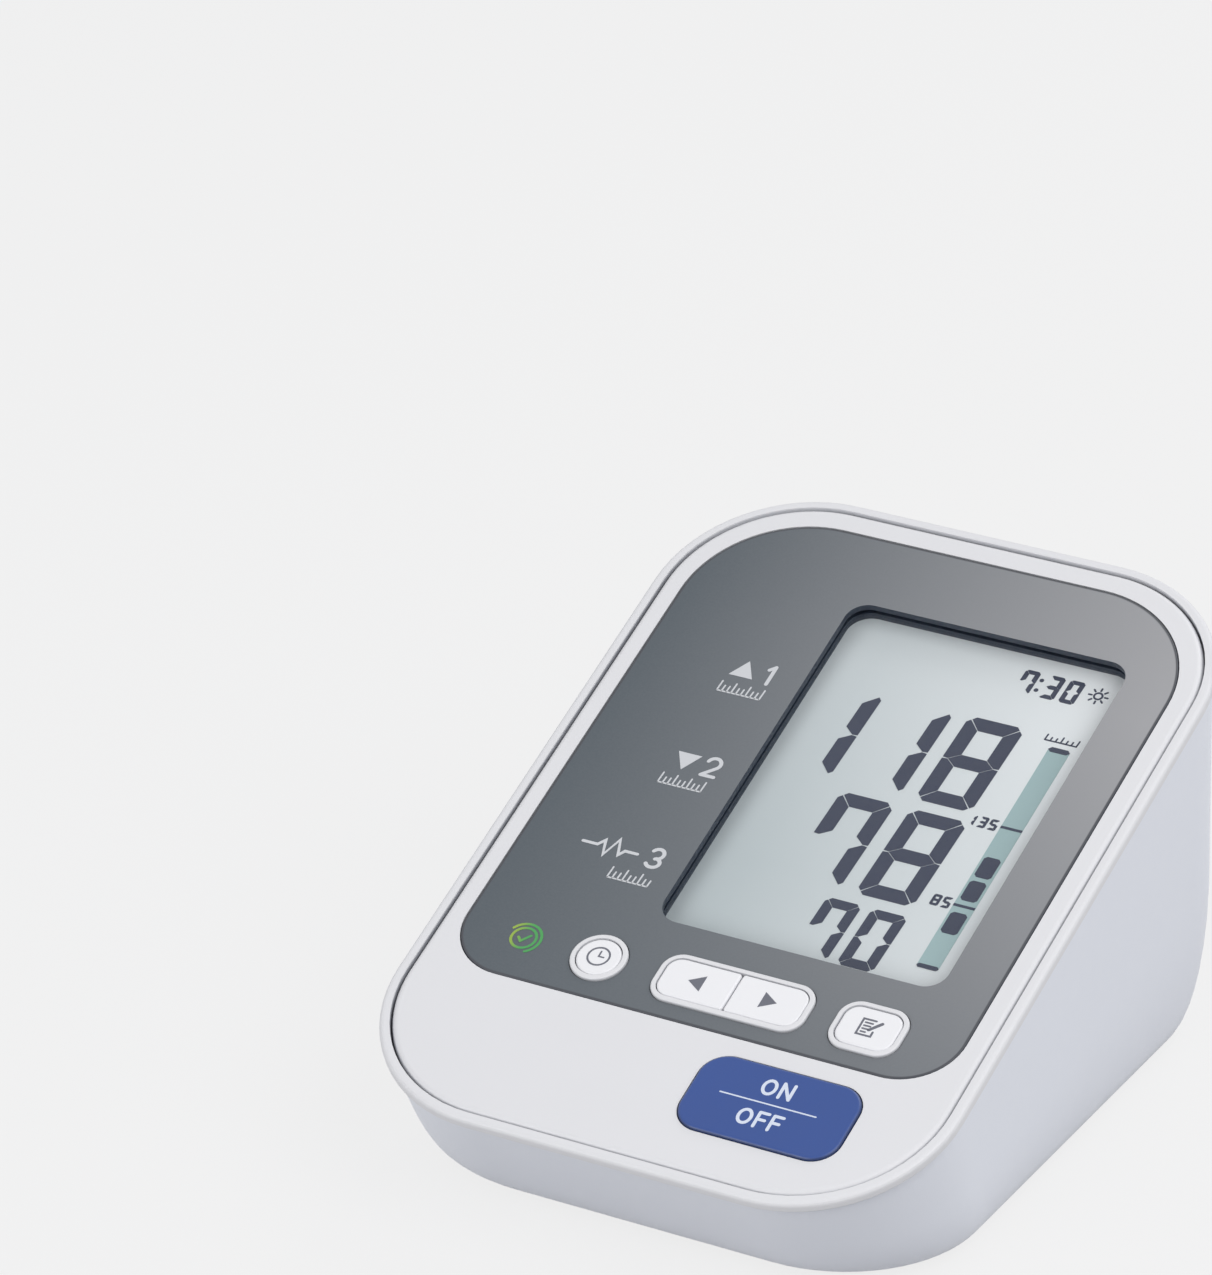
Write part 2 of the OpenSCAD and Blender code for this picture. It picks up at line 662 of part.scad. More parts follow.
// The space of the posts with a clearance of g round them
module post_room(g) {
    for (s = [-1, 1]) for (b = [front_boss, rear_boss])
        translate([s * b[0], b[1], 0]) cylinder(h = face_len, r = post_r + g);
}
module top_cover() color("whitesmoke") {
    on_face() difference() {
        union() {
            difference() {
                union() {
                    soft_slab(seam_gap - seam_hw, seam_hw - seam_gap, seam_gap, seam_l - seam_gap,
                        [for (i = [0:3]) corner_r - seam_gap], -cover_t, 0, cover_edge_r);
                    side_lips();
                }
                slab(panel_side - seam_hw, seam_hw - panel_side, panel_front, seam_l - panel_rear,
                    [panel_front_r, panel_front_r, panel_rear_r, panel_rear_r], -panel_seat, over);
            }
            for (k = keys) key_solid(k, fit_gap + collar_w, -panel_seat - bite, button_rise, collar_edge);
            for (p = board_posts) translate([p[0], p[1], -board_depth])
                cylinder(h = board_depth - cover_t + bite, r = board_post_r);
        }
        window_box(lens_lap + 0.1, -lens_seat, over);
        window_box(under_lens, -cover_t - over, over);
        for (k = keys) key_box(k, fit_gap, -cover_t - over, over + 2);
        start_box(fit_gap, -cover_t - over, over);
        translate([lamp_u, row_v, -cover_t - over]) cylinder(h = cover_t + over, r = lamp_r + seat_gap);
        for (p = board_posts) translate([p[0], p[1], -board_depth - over])
            cylinder(h = board_hole_l + over, r = board_screw_r + run_gap);
    }
    case_posts();
}

module display_panel() color("dimgray") on_face() difference() {
    soft_slab(panel_side + fit_gap - seam_hw, seam_hw - panel_side - fit_gap, panel_front + fit_gap,
        seam_l - panel_rear - fit_gap, [for (i = [0:3]) (i < 2 ? panel_front_r : panel_rear_r) - fit_gap],
        -panel_t, 0, panel_edge);
    window_box(0, -panel_t - over, over);
    for (k = keys) key_box(k, 2 * fit_gap + collar_w, -panel_t - over, over + 2);
}
module window_lens() color("lightcyan", 0.35) on_face()
    window_box(lens_lap, -lens_seat, -lens_seat + lens_t);
module lcd_frame() color("midnightblue") difference() {
    on_face() difference() {
        window_box(lcd_lap + frame_t, -board_depth, -cover_t - 0.05);
        window_box(lcd_lap + seat_gap, -board_depth - over, -lcd_depth);
        window_box(under_lens, -board_depth, 0);
    }
    post_room(post_gap);
}
module lcd_glass() color("lightsteelblue") difference() {
    on_face() {
        window_box(lcd_lap, -lcd_depth - lcd_t / 2, -lcd_depth);
        translate([window_u0 - lcd_lap + lcd_step, window_front, -lcd_depth - lcd_t])
            cube([window_w + 2 * (lcd_lap - lcd_step), window_l, lcd_t]);
    }
    post_room(post_gap);
}
module lcd_strips() color("hotpink") on_face()
    for (u = [window_u0 - lcd_lap + strip_in, window_u1 + lcd_lap - strip_in - strip_w])
        translate([u, window_front + 2, -board_depth])
            cube([strip_w, window_l - 4, board_depth - lcd_depth - lcd_t / 2]);

// Stem of a button, down to its switch
module stem(u, v) {
    translate([u, v, -stem_end]) cylinder(h = stem_end - cover_t, r = stem_r);
}
module start_button() color("royalblue") on_face() {
    soft_slab(start_u - start_w / 2, start_u + start_w / 2, start_v - start_l / 2,
        start_v + start_l / 2, [for (i = [0:3]) start_r], flange_h0, button_rise, start_edge);
    start_box(flange_w, flange_h0, flange_h1);
    stem(start_u, start_v);
}
module clock_button() color("white") on_face() {
    key_solid(keys[0], 0, flange_h0, button_rise, key_edge);
    key_box(keys[0], flange_w, flange_h0, flange_h1);
    stem(clock_u, row_v);
}
module memory_button() color("white") on_face() {
    key_solid(keys[2], 0, flange_h0, button_rise, key_edge);
    key_box(keys[2], flange_w, flange_h0, flange_h1);
    stem(memory_u, row_v);
}
// Half of the arrow pair, s = -1 for back and 1 for forward
module arrow_half(s) {
    k = keys[1];
    u0 = s < 0 ? k[0] : arrows_u + arrow_split;
    u1 = s < 0 ? arrows_u - arrow_split : k[1];
    r = [for (i = [0:3]) (i == 0 || i == 3) == (s < 0) ? key_r : arrow_in_r];
    soft_slab(u0, u1, row_v0, row_v1, r, flange_h0, button_rise, arrow_edge);
    slab(s < 0 ? u0 - flange_w : u0, s < 0 ? u1 : u1 + flange_w, row_v0 - flange_w, row_v1 + flange_w,
        r, flange_h0, flange_h1);
    stem((u0 + u1) / 2, row_v);
}
module back_button() color("white") on_face() arrow_half(-1);
module forward_button() color("white") on_face() arrow_half(1);

module plunger(i) color("black") on_face()
    translate([switch_at[i][0], switch_at[i][1], -stem_end - plunger_l])
        cylinder(h = plunger_l, r = plunger_r);
module key_switches() color("silver") on_face() for (p = switch_at) difference() {
    translate([p[0] - switch_w / 2, p[1] - switch_w / 2, -board_depth])
        cube([switch_w, switch_w, switch_h]);
    translate([p[0], p[1], -stem_end - plunger_l - travel - 0.3])
        cylinder(h = board_depth, r = plunger_r + run_gap);
}
module guide_lamp() color("honeydew") on_face() translate([lamp_u, row_v, 0]) {
    translate([0, 0, -board_depth + lamp_led_h + 0.4])
        cylinder(h = board_depth - lamp_led_h - 0.4 - panel_seat, r = lamp_r);
    translate([0, 0, flange_h0]) cylinder(h = flange_t, r = lamp_r + 1);
}
module lamp_led() color("limegreen") on_face() translate([lamp_u, row_v, -board_depth]) {
    translate([-lamp_led_w / 2, -lamp_led_w / 2, 0]) cube([lamp_led_w, lamp_led_w, lamp_led_h - 0.6]);
    cylinder(h = lamp_led_h, r = lamp_lens_r);
}

module main_board() color("darkgreen") difference() {
    on_face() difference() {
        slab(-board_w / 2, board_w / 2, board_front, board_front + board_l, [2, 2, 2, 2],
            -board_depth - board_t, -board_depth);
        for (p = board_posts) translate([p[0], p[1], -board_depth - board_t - over])
            cylinder(h = board_t + 2 * over, r = board_screw_r + 0.2);
    }
    post_room(board_gap);
}
module under_board() {
    on_face() translate([0, 0, -board_depth - board_t]) children();
}
module board_chips() color("dimgray") under_board()
    for (c = chips) translate([c[0] - c[2] / 2, c[1] - c[3] / 2, -c[4]]) cube([c[2], c[3], c[4]]);
module board_screws() color("silver") under_board() for (p = board_posts) translate([p[0], p[1], 0]) {
    translate([0, 0, -board_head_t]) cylinder(h = board_head_t, r = board_head_r);
    translate([0, 0, -bite]) cylinder(h = board_t + board_screw_l + bite, r = board_screw_r);
}
module buzzer() color("black") under_board()
    translate([board_w / 2 - buzzer_side, board_front + board_l - buzzer_rear, -buzzer_t]) difference() {
        cylinder(h = buzzer_t, r = buzzer_r);
        translate([0, 0, -over]) cylinder(h = over + 1.5, r = 1);
    }
module pressure_sensor() color("gray") under_board()
    translate([sensor_x, to_v(air_y, air_z), -sensor_t]) difference() {
        union() {
            translate([-sensor_w / 2, -sensor_w / 2, 0]) cube([sensor_w, sensor_w, sensor_t]);
            rotate([180, 0, 0]) cylinder(h = nipple_l, r = nipple_r);
        }
        translate([0, 0, -nipple_l - over]) cylinder(h = nipple_l + over + 2, r = air_bore_r);
    }

// Everything on the pump's axis
module on_pump() {
    translate([0, pump_y, pump_z]) children();
}
module pump_motor() color("silver") on_pump() difference() {
    union() {
        rod_x(motor_x, motor_x + motor_l, motor_r);
        rod_x(motor_x - hub_l, motor_x + motor_l + hub_l, hub_r);
    }
    rod_x(motor_x - hub_l - over, motor_x + motor_l + hub_l + over, shaft_r + run_gap);
}
module motor_shaft() color("gold") on_pump() {
    rod_x(crank_x + bite, motor_x + motor_l + hub_l + 1, shaft_r);
    rod_x(crank_x, crank_x + crank_t, crank_r);
    translate([0, 0, -pin_off]) rod_x(crank_x - pin_l, crank_x + bite, pin_r);
}
module pump_head() color("ivory") on_pump() difference() {
    rod_x(head_x, motor_x, head_r);
    rod_x(head_x - over, motor_x - head_wall, head_r - 2);
    rod_x(head_x, motor_x + over, hub_r + run_gap);
}
module drive_plate() color("orange") on_pump() difference() {
    rod_x(head_x + disc_t + 0.05, plate_x + plate_t, head_r - 3);
    rod_x(plate_x, plate_x + plate_t + over, pin_off + pin_r + 0.5);
}
module pump_diaphragm() color("darkred") on_pump() rod_x(head_x, head_x + disc_t, head_r - 2 - run_gap);
module pump_cap() color("ivory") on_pump() difference() {
    union() {
        rod_x(cap_x, head_x, head_r);
        translate([air_x, 0, head_r - 2]) cylinder(h = 2 + nipple_l, r = nipple_r);
    }
    translate([air_x, 0, 0]) cylinder(h = head_r + nipple_l + over, r = air_bore_r);
    rod_x(head_x - 2.5, head_x + over, head_r - 3);
}
module pump_sleeve() color("dimgray") on_pump() difference() {
    rod_x(sleeve_x, sleeve_x + sleeve_l, motor_r + sleeve_t);
    rod_x(sleeve_x - over, sleeve_x + sleeve_l + over, motor_r + run_gap);
}

module on_valve() {
    translate([valve_x, air_y, valve_z]) children();
}
module valve_housing() color("gray") on_valve() difference() {
    union() {
        translate([-valve_w / 2, -valve_w / 2, 0]) cube([valve_w, valve_w, valve_h]);
        translate([0, 0, valve_h - bite]) cylinder(h = port_top - valve_h + bite, r = nipple_r);
    }
    translate([0, 0, plunger_z0 - 1]) cylinder(h = spring_z1 - plunger_z0 + 1, r = valve_bore_r);
    translate([0, 0, spring_z1 - over]) cylinder(h = 20, r = air_bore_r);
}
module valve_plunger() color("silver") on_valve()
    translate([0, 0, plunger_z0]) cylinder(h = plunger_h, r = valve_bore_r - run_gap);

// Points of a coil spring along Z from 0 to l, its radius going from r0 to r1: 8 rings of 6 a turn
function coil(l, r0, r1, turns, wire) = [for (i = [0:turns * 8])
    let (t = i / (turns * 8), a = 45 * i, r = r0 + (r1 - r0) * t, z = wire + (l - 2 * wire) * t)
    for (j = [0:5]) let (c = r + wire * cos(60 * j)) [c * cos(a), c * sin(a), z + wire * sin(60 * j)]];
// Least distance between points of neighbouring turns
function coil_gap(p) = let (last = len(p) / 6 - 1)
    min([for (i = [0:last - 6]) for (k = [i + 6:min(i + 10, last)]) for (a = [0:5]) for (b = [0:5])
        norm(p[i * 6 + a] - p[k * 6 + b])]);
module spring(l, r0, r1, turns, wire) {
    p = coil(l, r0, r1, turns, wire);
    last = len(p) / 6 - 1;
    echo(str("least gap of a spring to itself, mm: ", coil_gap(p)));
    polyhedron(points = p, faces = concat([[for (j = [0:5]) j]], [[for (j = [5:-1:0]) last * 6 + j]],
        [for (i = [0:last - 1]) for (j = [0:5])
            [i * 6 + j, (i + 1) * 6 + j, (i + 1) * 6 + (j + 1) % 6]],
        [for (i = [0:last - 1]) for (j = [0:5])
            [i * 6 + j, (i + 1) * 6 + (j + 1) % 6, i * 6 + (j + 1) % 6]]),
        convexity = 8);
}
module valve_spring() color("silver") on_valve() translate([0, 0, plunger_z0 + plunger_h])
    spring(valve_spring_l, 1.9, 1.9, 3, 0.25);

module sensor_branch(l, r) {
    translate([sensor_x - air_x, 0, 0]) rotate([tilt, 0, 0]) cylinder(h = l, r = r);
}
module air_manifold() color("ivory") translate([air_x, air_y, air_z]) difference() {
    union() {
        rod_x(-manifold_l / 2, manifold_l / 2, manifold_r);
        rod_x(-manifold_l / 2 - nipple_l, manifold_l / 2 + nipple_l, nipple_r);
        rotate([180, 0, 0]) cylinder(h = manifold_r + nipple_l, r = nipple_r);
        sensor_branch(manifold_r + nipple_l, nipple_r);
    }
    rod_x(-manifold_l, manifold_l, air_bore_r);
    translate([0, 0, -manifold_l]) cylinder(h = manifold_l, r = branch_r);
    sensor_branch(manifold_l, branch_r);
}
module hose(l) {
    difference() {
        cylinder(h = l, r = hose_r);
        translate([0, 0, -over]) cylinder(h = l + 2 * over, r = nipple_r + run_gap);
    }
}
module air_hoses() color("tan") {
    hose_x0 = -jack_in + hose_gap;
    hose_x1 = air_x - manifold_l / 2 - hose_gap;
    translate([hose_x0, air_y, air_z]) rotate([0, 90, 0]) hose(hose_x1 - hose_x0);
    z0 = pump_z + head_r + hose_gap;
    translate([air_x, air_y, z0]) hose(air_z - manifold_r - hose_gap - z0);
    z1 = valve_z + valve_h + hose_gap;
    translate([valve_x, air_y, z1]) hose(air_z - jack_r - hose_gap - z1);
    h0 = air_h + manifold_r + hose_gap;
    on_face() translate([sensor_x, to_v(air_y, air_z), h0])
        hose(-board_depth - board_t - sensor_t - hose_gap - h0);
}
module bleed_valve() color("dimgray")
    translate([air_x + manifold_l / 2 + hose_gap, air_y, air_z]) difference() {
        rod_x(0, bleed_l, bleed_r);
        rod_x(-over, nipple_l + 0.3, nipple_r + run_gap);
        rod_x(0, bleed_l + over, bleed_hole_r);
    }
module air_jack() color("gainsboro") translate([0, air_y, air_z]) difference() {
    union() {
        rod_x(-jack_face, -jack_in, jack_r);
        rod_x(-jack_face + 0.8 + wall, -jack_face + 2.8 + wall, jack_r + flange_r);
        rod_x(-jack_in - bite, -jack_in + nipple_l, nipple_r);
        translate([valve_x, 0, -jack_r - nipple_l]) cylinder(h = nipple_l + 2, r = nipple_r);
    }
    rod_x(-jack_face - over, -jack_face + jack_bore_l, jack_bore_r);
    rod_x(-jack_face, -jack_in + nipple_l + over, air_bore_r);
    translate([valve_x, 0, -jack_r - nipple_l - over]) cylinder(h = jack_r + nipple_l + over, r = branch_r);
}
module power_socket() color("black") translate([power_x, 0, power_z]) {
    difference() {
        union() {
            rod_y(power_end - bite, power_face, power_r);
            translate([-socket_w / 2, power_end - power_l, -socket_h / 2])
                cube([socket_w, power_l, socket_h]);
        }
        rod_y(power_face - power_depth, power_face + over, power_bore_r);
    }
    rod_y(power_face - power_depth - bite, power_face - 1, power_pin_r);
}

module battery_door() color("gainsboro") difference() {
    union() {
        translate([0, 0, base_z]) slab(-door_hw, door_hw, door_y0, door_y1,
            [door_r - door_gap, door_r - door_gap, door_r - door_gap, door_r - door_gap], 0, door_t);
        for (s = [-1, 1]) translate([s * tab_x - tab_w / 2, door_y0, base_z + door_t - bite]) {
            cube([tab_w, rib_t, bite + rib_h + tab_t]);
            translate([0, -tab_l, bite + rib_h]) cube([tab_w, tab_l + 1, tab_t]);
        }
        for (y = [bay_y0 + 8, bay_mid, bay_y1 - 8])
            translate([1 - bay_w / 2, y - rib_t / 2, base_z + door_t - bite])
                cube([bay_w - 2, rib_t, bite + rib_h]);
    }
    for (i = [0:ridges - 1]) translate([-9, door_y1 - 6 - ridge_pitch * i, base_z - over])
        cube([18, 1, over + 0.5]);
    translate([-grip_w / 2, door_y1 - grip_l, base_z - over]) cube([grip_w, 2, over + grip_t]);
}
// A cell along Y between its contacts, in bay place i; every second one is turned round
module battery(i) color("teal") translate([(i - (cells - 1) / 2) * cell_pitch, bay_mid, cell_z])
    rotate([0, 0, i % 2 == 0 ? 0 : 180]) translate([0, cell_shift, 0]) {
        rod_y(-cell_l / 2, cell_l / 2 - 1, cell_r);
        rod_y(cell_l / 2 - 1.5, cell_l / 2, 2.7);
    }
module contact_springs() color("silver") for (i = [0:cells - 1])
    translate([(i - (cells - 1) / 2) * cell_pitch, bay_mid, cell_z]) rotate([0, 0, i % 2 == 0 ? 0 : 180])
        translate([0, contact_t + 0.1 - bay_l / 2, 0]) rotate([-90, 0, 0])
            spring(spring_l, spring_r0, spring_r1, spring_turns, spring_wire);
module contact_plates() color("silver") for (i = [0:cells - 1]) for (s = [-1, 1])
    translate([(i - (cells - 1) / 2) * cell_pitch - plate_w / 2,
        bay_mid + s * (bay_l - contact_t - 0.1) / 2 - contact_t / 2, cell_z - plate_h / 2])
        cube([plate_w, contact_t, plate_h]);

module case_screws() color("silver") for (s = [-1, 1])
    for (b = [[front_boss, front_post_l], [rear_boss, rear_post_l]]) {
        z = boss_top(b[0][1], b[1]) - web_t;
        translate([s * b[0][0], b[0][1], z]) {
            difference() {
                translate([0, 0, -head_t]) cylinder(h = head_t, r = screw_r + 1.15);
                for (a = [0, 90]) rotate([0, 0, a]) translate([-slot_l / 2, -slot_w / 2, -head_t - over])
                    cube([slot_l, slot_w, over + slot_t]);
            }
            translate([0, 0, -bite]) cylinder(h = screw_l, r = screw_r);
        }
    }
module rubber_feet() color("dimgray") for (s = [-1, 1]) for (f = feet)
    translate([s * f[0], f[1], base_z + foot_sink]) rotate([180, 0, 0])
        soft_disc(foot_r, 0, base_z + foot_sink, 0.4);

base_case();
top_cover();
display_panel();
window_lens();
lcd_frame();
lcd_glass();
lcd_strips();
start_button();
clock_button();
back_button();
forward_button();
memory_button();
plunger(0);  // start_plunger
plunger(1);  // clock_plunger
plunger(2);  // back_plunger
plunger(3);  // forward_plunger
plunger(4);  // memory_plunger
key_switches();
guide_lamp();
lamp_led();
main_board();
board_chips();
board_screws();
pressure_sensor();
buzzer();
pump_motor();
motor_shaft();
pump_head();
drive_plate();
pump_diaphragm();
pump_cap();
pump_sleeve();
valve_housing();
valve_plunger();
valve_spring();
air_manifold();
air_hoses();
bleed_valve();
air_jack();
power_socket();
battery_door();
battery(0);  // battery_1
battery(1);  // battery_2
battery(2);  // battery_3
battery(3);  // battery_4
contact_springs();
contact_plates();
case_screws();
rubber_feet();
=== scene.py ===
import json
import math

import bmesh
import bpy
from mathutils import Matrix, Vector


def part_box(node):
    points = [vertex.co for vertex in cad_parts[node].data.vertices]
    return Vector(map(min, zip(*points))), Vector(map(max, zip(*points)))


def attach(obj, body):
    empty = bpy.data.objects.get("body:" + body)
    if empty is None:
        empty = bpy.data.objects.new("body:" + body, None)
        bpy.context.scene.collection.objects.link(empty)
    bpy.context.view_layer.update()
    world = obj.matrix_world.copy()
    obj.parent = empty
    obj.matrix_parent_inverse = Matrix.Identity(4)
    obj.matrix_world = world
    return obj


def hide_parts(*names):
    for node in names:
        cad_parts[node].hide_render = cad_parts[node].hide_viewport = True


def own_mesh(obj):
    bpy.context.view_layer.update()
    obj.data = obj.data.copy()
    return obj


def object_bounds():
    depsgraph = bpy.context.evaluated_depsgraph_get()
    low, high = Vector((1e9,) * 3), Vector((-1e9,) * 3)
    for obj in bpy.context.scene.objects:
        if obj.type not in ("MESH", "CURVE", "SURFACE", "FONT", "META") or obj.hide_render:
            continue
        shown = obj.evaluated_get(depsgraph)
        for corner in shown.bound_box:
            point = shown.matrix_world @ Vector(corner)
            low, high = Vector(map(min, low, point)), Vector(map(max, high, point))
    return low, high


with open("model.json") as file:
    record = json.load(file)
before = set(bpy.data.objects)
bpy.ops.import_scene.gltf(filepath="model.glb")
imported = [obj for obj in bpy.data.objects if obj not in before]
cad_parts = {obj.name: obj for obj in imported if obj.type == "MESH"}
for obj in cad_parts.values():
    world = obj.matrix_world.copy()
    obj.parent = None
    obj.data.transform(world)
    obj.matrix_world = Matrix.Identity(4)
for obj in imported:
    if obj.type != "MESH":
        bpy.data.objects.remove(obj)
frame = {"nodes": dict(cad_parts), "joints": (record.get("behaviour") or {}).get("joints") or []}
cad_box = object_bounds()

# Sizes in mm, as in the part; on the sloped face u runs right, v up the slope and h out of it
MM = 0.001
TILT = math.radians(22)
COS, SIN = math.cos(TILT), math.sin(TILT)
# Height of the face at its front seam, then the rim's width and edge radius
FRONT_H, RIM_W, RIM_R = 22.5, 1.9, 0.9
FACE_Y = cad_box[0][1] / MM + (RIM_W - RIM_R) * COS - RIM_R * SIN + RIM_R
# The display window as u0, u1, v0, v1
WINDOW = (-16, 38, 49.3, 127.8)
# Top of the display glass and of the buttons, as h
LCD_TOP, RISE = -3.7, 0.5
# Rounded outlines as u0, u1, v0, v1, then the corner radius at the front and at the rear
SEAM = (-51.6, 51.6, 0, 148, 25.5, 25.5)
PANEL = (-47.6, 47.6, 29, 143.3, 11, 22)


def face_point(u, v, h):
    """A point of the sloped face, in metres."""
    return Vector((u, FACE_Y + v * COS - h * SIN, FRONT_H + v * SIN + h * COS)) * MM


def spot(node):
    """The (u, v) of a node's middle on the sloped face, in mm."""
    x, y, z = ((a + b) / 2 / MM for a, b in zip(*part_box(node)))
    return x, (y - FACE_Y) * COS + (z - FRONT_H) * SIN


START, CLOCK, BACK, FORWARD, MEMORY, LAMP = (
    spot(node) for node in ("start_plunger", "clock_plunger", "back_plunger", "forward_plunger",
        "memory_plunger", "lamp_led"))


def srgb(r, g, b):
    """A shader colour from 0 to 255 values as a screen shows them."""

    def linear(c):
        c /= 255
        return c / 12.92 if c <= 0.04045 else ((c + 0.055) / 1.055) ** 2.4

    return (linear(r), linear(g), linear(b), 1)


# Materials: ramps and outlines in mm, colours as a screen shows them
class Shade:
    """One node material.

    add() makes a node: settings are its properties, and each keyword sets or links the input of
    that name, with _ for a space, or of that number, as in i0 for the first.
    """

    def __init__(self, name):
        self.material = bpy.data.materials.new(name)
        self.material.use_nodes = True
        self.tree = self.material.node_tree
        self.tree.nodes.clear()
        self.out = self.tree.nodes.new("ShaderNodeOutputMaterial")

    def add(self, kind, settings=None, **inputs):
        n = self.tree.nodes.new("ShaderNode" + kind)
        for key, value in (settings or {}).items():
            setattr(n, key, value)
        for key, value in inputs.items():
            numbered = key[0] == "i" and key[1:].isdigit()
            socket = n.inputs[int(key[1:]) if numbered else key.replace("_", " ")]
            if isinstance(value, bpy.types.NodeSocket):
                self.tree.links.new(value, socket)
            else:
                socket.default_value = value
        return n

    def place(self):
        """The point in the object's own metres."""
        return self.add("TexCoord").outputs["Object"]

    def noise(self, scale, detail=2, rough=0.5, where=None):
        n = self.add("TexNoise", Vector=where or self.place(), Scale=scale, Detail=detail, Roughness=rough)
        return n.outputs["Fac"]

    def mix(self, factor, a, b):
        """Colour a at factor 0 and b at 1."""
        n = self.add("Mix", {"data_type": "RGBA"}, i0=factor, i6=a, i7=b)
        return n.outputs[2]

    def math(self, operation, a, b=0.0, c=0.0):
        return self.add("Math", {"operation": operation}, i0=a, i1=b, i2=c).outputs[0]

    def ramp(self, value, low, high, a=0.0, b=1.0, smooth=True):
        """From a, where the value is low, to b, where it is high."""
        kind = {"interpolation_type": "SMOOTHSTEP" if smooth else "LINEAR"}
        n = self.add("MapRange", kind, i0=value, i1=low, i2=high, i3=a, i4=b)
        return n.outputs[0]

    def uneven(self, noise, low, high):
        """A value that a noise moves between low and high."""
        return self.ramp(noise, 0.3, 0.7, low, high)

    def bump(self, height, distance, under=None):
        """A normal that follows a height, distance being the bump's full height in mm."""
        n = self.add("Bump", Height=height, Distance=distance * MM)
        if under is not None:
            self.tree.links.new(under, n.inputs["Normal"])
        return n.outputs["Normal"]

    def finish(self, shader):
        self.tree.links.new(shader, self.out.inputs["Surface"])
        return self.material

    def surface(self, colour, rough, normal, metallic=0.0):
        """Ends the material with one plastic or metal surface."""
        inputs = {"Base_Color": colour, "Roughness": rough, "Normal": normal, "Metallic": metallic}
        return self.finish(self.add("BsdfPrincipled", **inputs).outputs[0])


def tint(colour, k):
    """A colour made k times as bright."""
    return tuple(min(1, c * k) for c in colour[:3]) + (1,)


# Scales of the noises behind a plastic's mottle and its uneven gloss
MOTTLE, GLOSS_MOTTLE = 45, 405


def moulded(name, colour, rough, vary=0.02, grain=2200, depth=0.006):
    """Moulded plastic or rubber: a faint mottle, a fine texture and an uneven gloss."""
    s = Shade(name)
    fine = s.noise(grain, 3, 0.6)
    base = s.mix(s.noise(MOTTLE), tint(colour, 1 - vary), tint(colour, 1 + vary))
    gloss = s.uneven(s.noise(GLOSS_MOTTLE), rough - 0.04, rough + 0.04)
    return s.surface(base, gloss, s.bump(fine, depth))


def metal(name, colour, rough=0.32, scratch=(900, 40, 900)):
    """Drawn or turned metal: fine lines along the direction in which scratch is small."""
    s = Shade(name)
    where = s.add("Mapping", {"vector_type": "POINT"}, Vector=s.place(), Scale=scratch).outputs[0]
    lines = s.noise(1.5, 3, 0.6, where)
    base = s.mix(lines, tint(colour, 0.85), tint(colour, 1.1))
    gloss = s.uneven(lines, rough - 0.06, rough + 0.08)
    return s.surface(base, gloss, s.bump(lines, 0.002), 1.0)


def on_slope(s):
    """The u, v and h coordinates of the sloped face, in mm, as three sockets."""
    xyz = s.add("SeparateXYZ", Vector=s.place())
    x, y, z = (xyz.outputs[i] for i in range(3))
    dy = s.math("SUBTRACT", y, FACE_Y * MM)
    dz = s.math("SUBTRACT", z, FRONT_H * MM)
    v = s.math("MULTIPLY_ADD", dy, COS / MM, s.math("MULTIPLY", dz, SIN / MM))
    h = s.math("MULTIPLY_ADD", dz, COS / MM, s.math("MULTIPLY", dy, -SIN / MM))
    return s.math("MULTIPLY", x, 1 / MM), v, h


def facing_out(s):
    """How far the surface faces out of the slope: 1 on the face, 0 on a wall of a hole in it."""
    normal = s.add("NewGeometry").outputs["True Normal"]
    dot = s.add("VectorMath", {"operation": "DOT_PRODUCT"}, i0=normal, i1=(0, -SIN, COS))
    return dot.outputs["Value"]


def outside(s, u, v, outline):
    """How far a point of the slope lies outside a rounded outline, in mm: below 0 inside it."""

    def beyond(value, low, high):
        from_middle = s.math("ABSOLUTE", s.math("SUBTRACT", value, (low + high) / 2))
        return s.math("ADD", s.math("SUBTRACT", from_middle, (high - low) / 2), r)

    u0, u1, v0, v1, front_r, rear_r = outline
    middle = (v0 + v1) / 2
    r = s.ramp(v, middle - 1, middle + 1, front_r, rear_r)
    du, dv = beyond(u, u0, u1), beyond(v, v0, v1)
    corner = s.add("CombineXYZ", i0=s.math("MAXIMUM", du, 0.0), i1=s.math("MAXIMUM", dv, 0.0)).outputs[0]
    reach = s.add("VectorMath", {"operation": "LENGTH"}, i0=corner).outputs["Value"]
    inner = s.math("MINIMUM", s.math("MAXIMUM", du, dv), 0.0)
    return s.math("SUBTRACT", s.math("ADD", reach, inner), r)


# Share of a full gloss that the thin clear window keeps, so that the display stays readable, and
# that gloss's roughness
WINDOW_GLOSS, WINDOW_ROUGH = 0.35, 0.04


def clear(name, colour):
    """Thin clear plastic: it shows what is behind it and keeps a gloss on its front."""
    s = Shade(name)
    normal = s.bump(s.noise(60), 0.004)
    gloss = s.add("BsdfGlossy", Color=(1, 1, 1, 1), Roughness=WINDOW_ROUGH, Normal=normal)
    behind = s.add("BsdfTransparent", Color=s.mix(s.noise(30, 1), tint(colour, 0.995), colour))
    inside = s.add("NewGeometry").outputs["Backfacing"]
    front = s.math("SUBTRACT", WINDOW_GLOSS, s.math("MULTIPLY", inside, WINDOW_GLOSS))
    fresnel = s.math("MULTIPLY", s.add("Fresnel", IOR=1.45).outputs[0], front)
    return s.finish(s.add("MixShader", i0=fresnel, i1=behind.outputs[0], i2=gloss.outputs[0]).outputs[0])


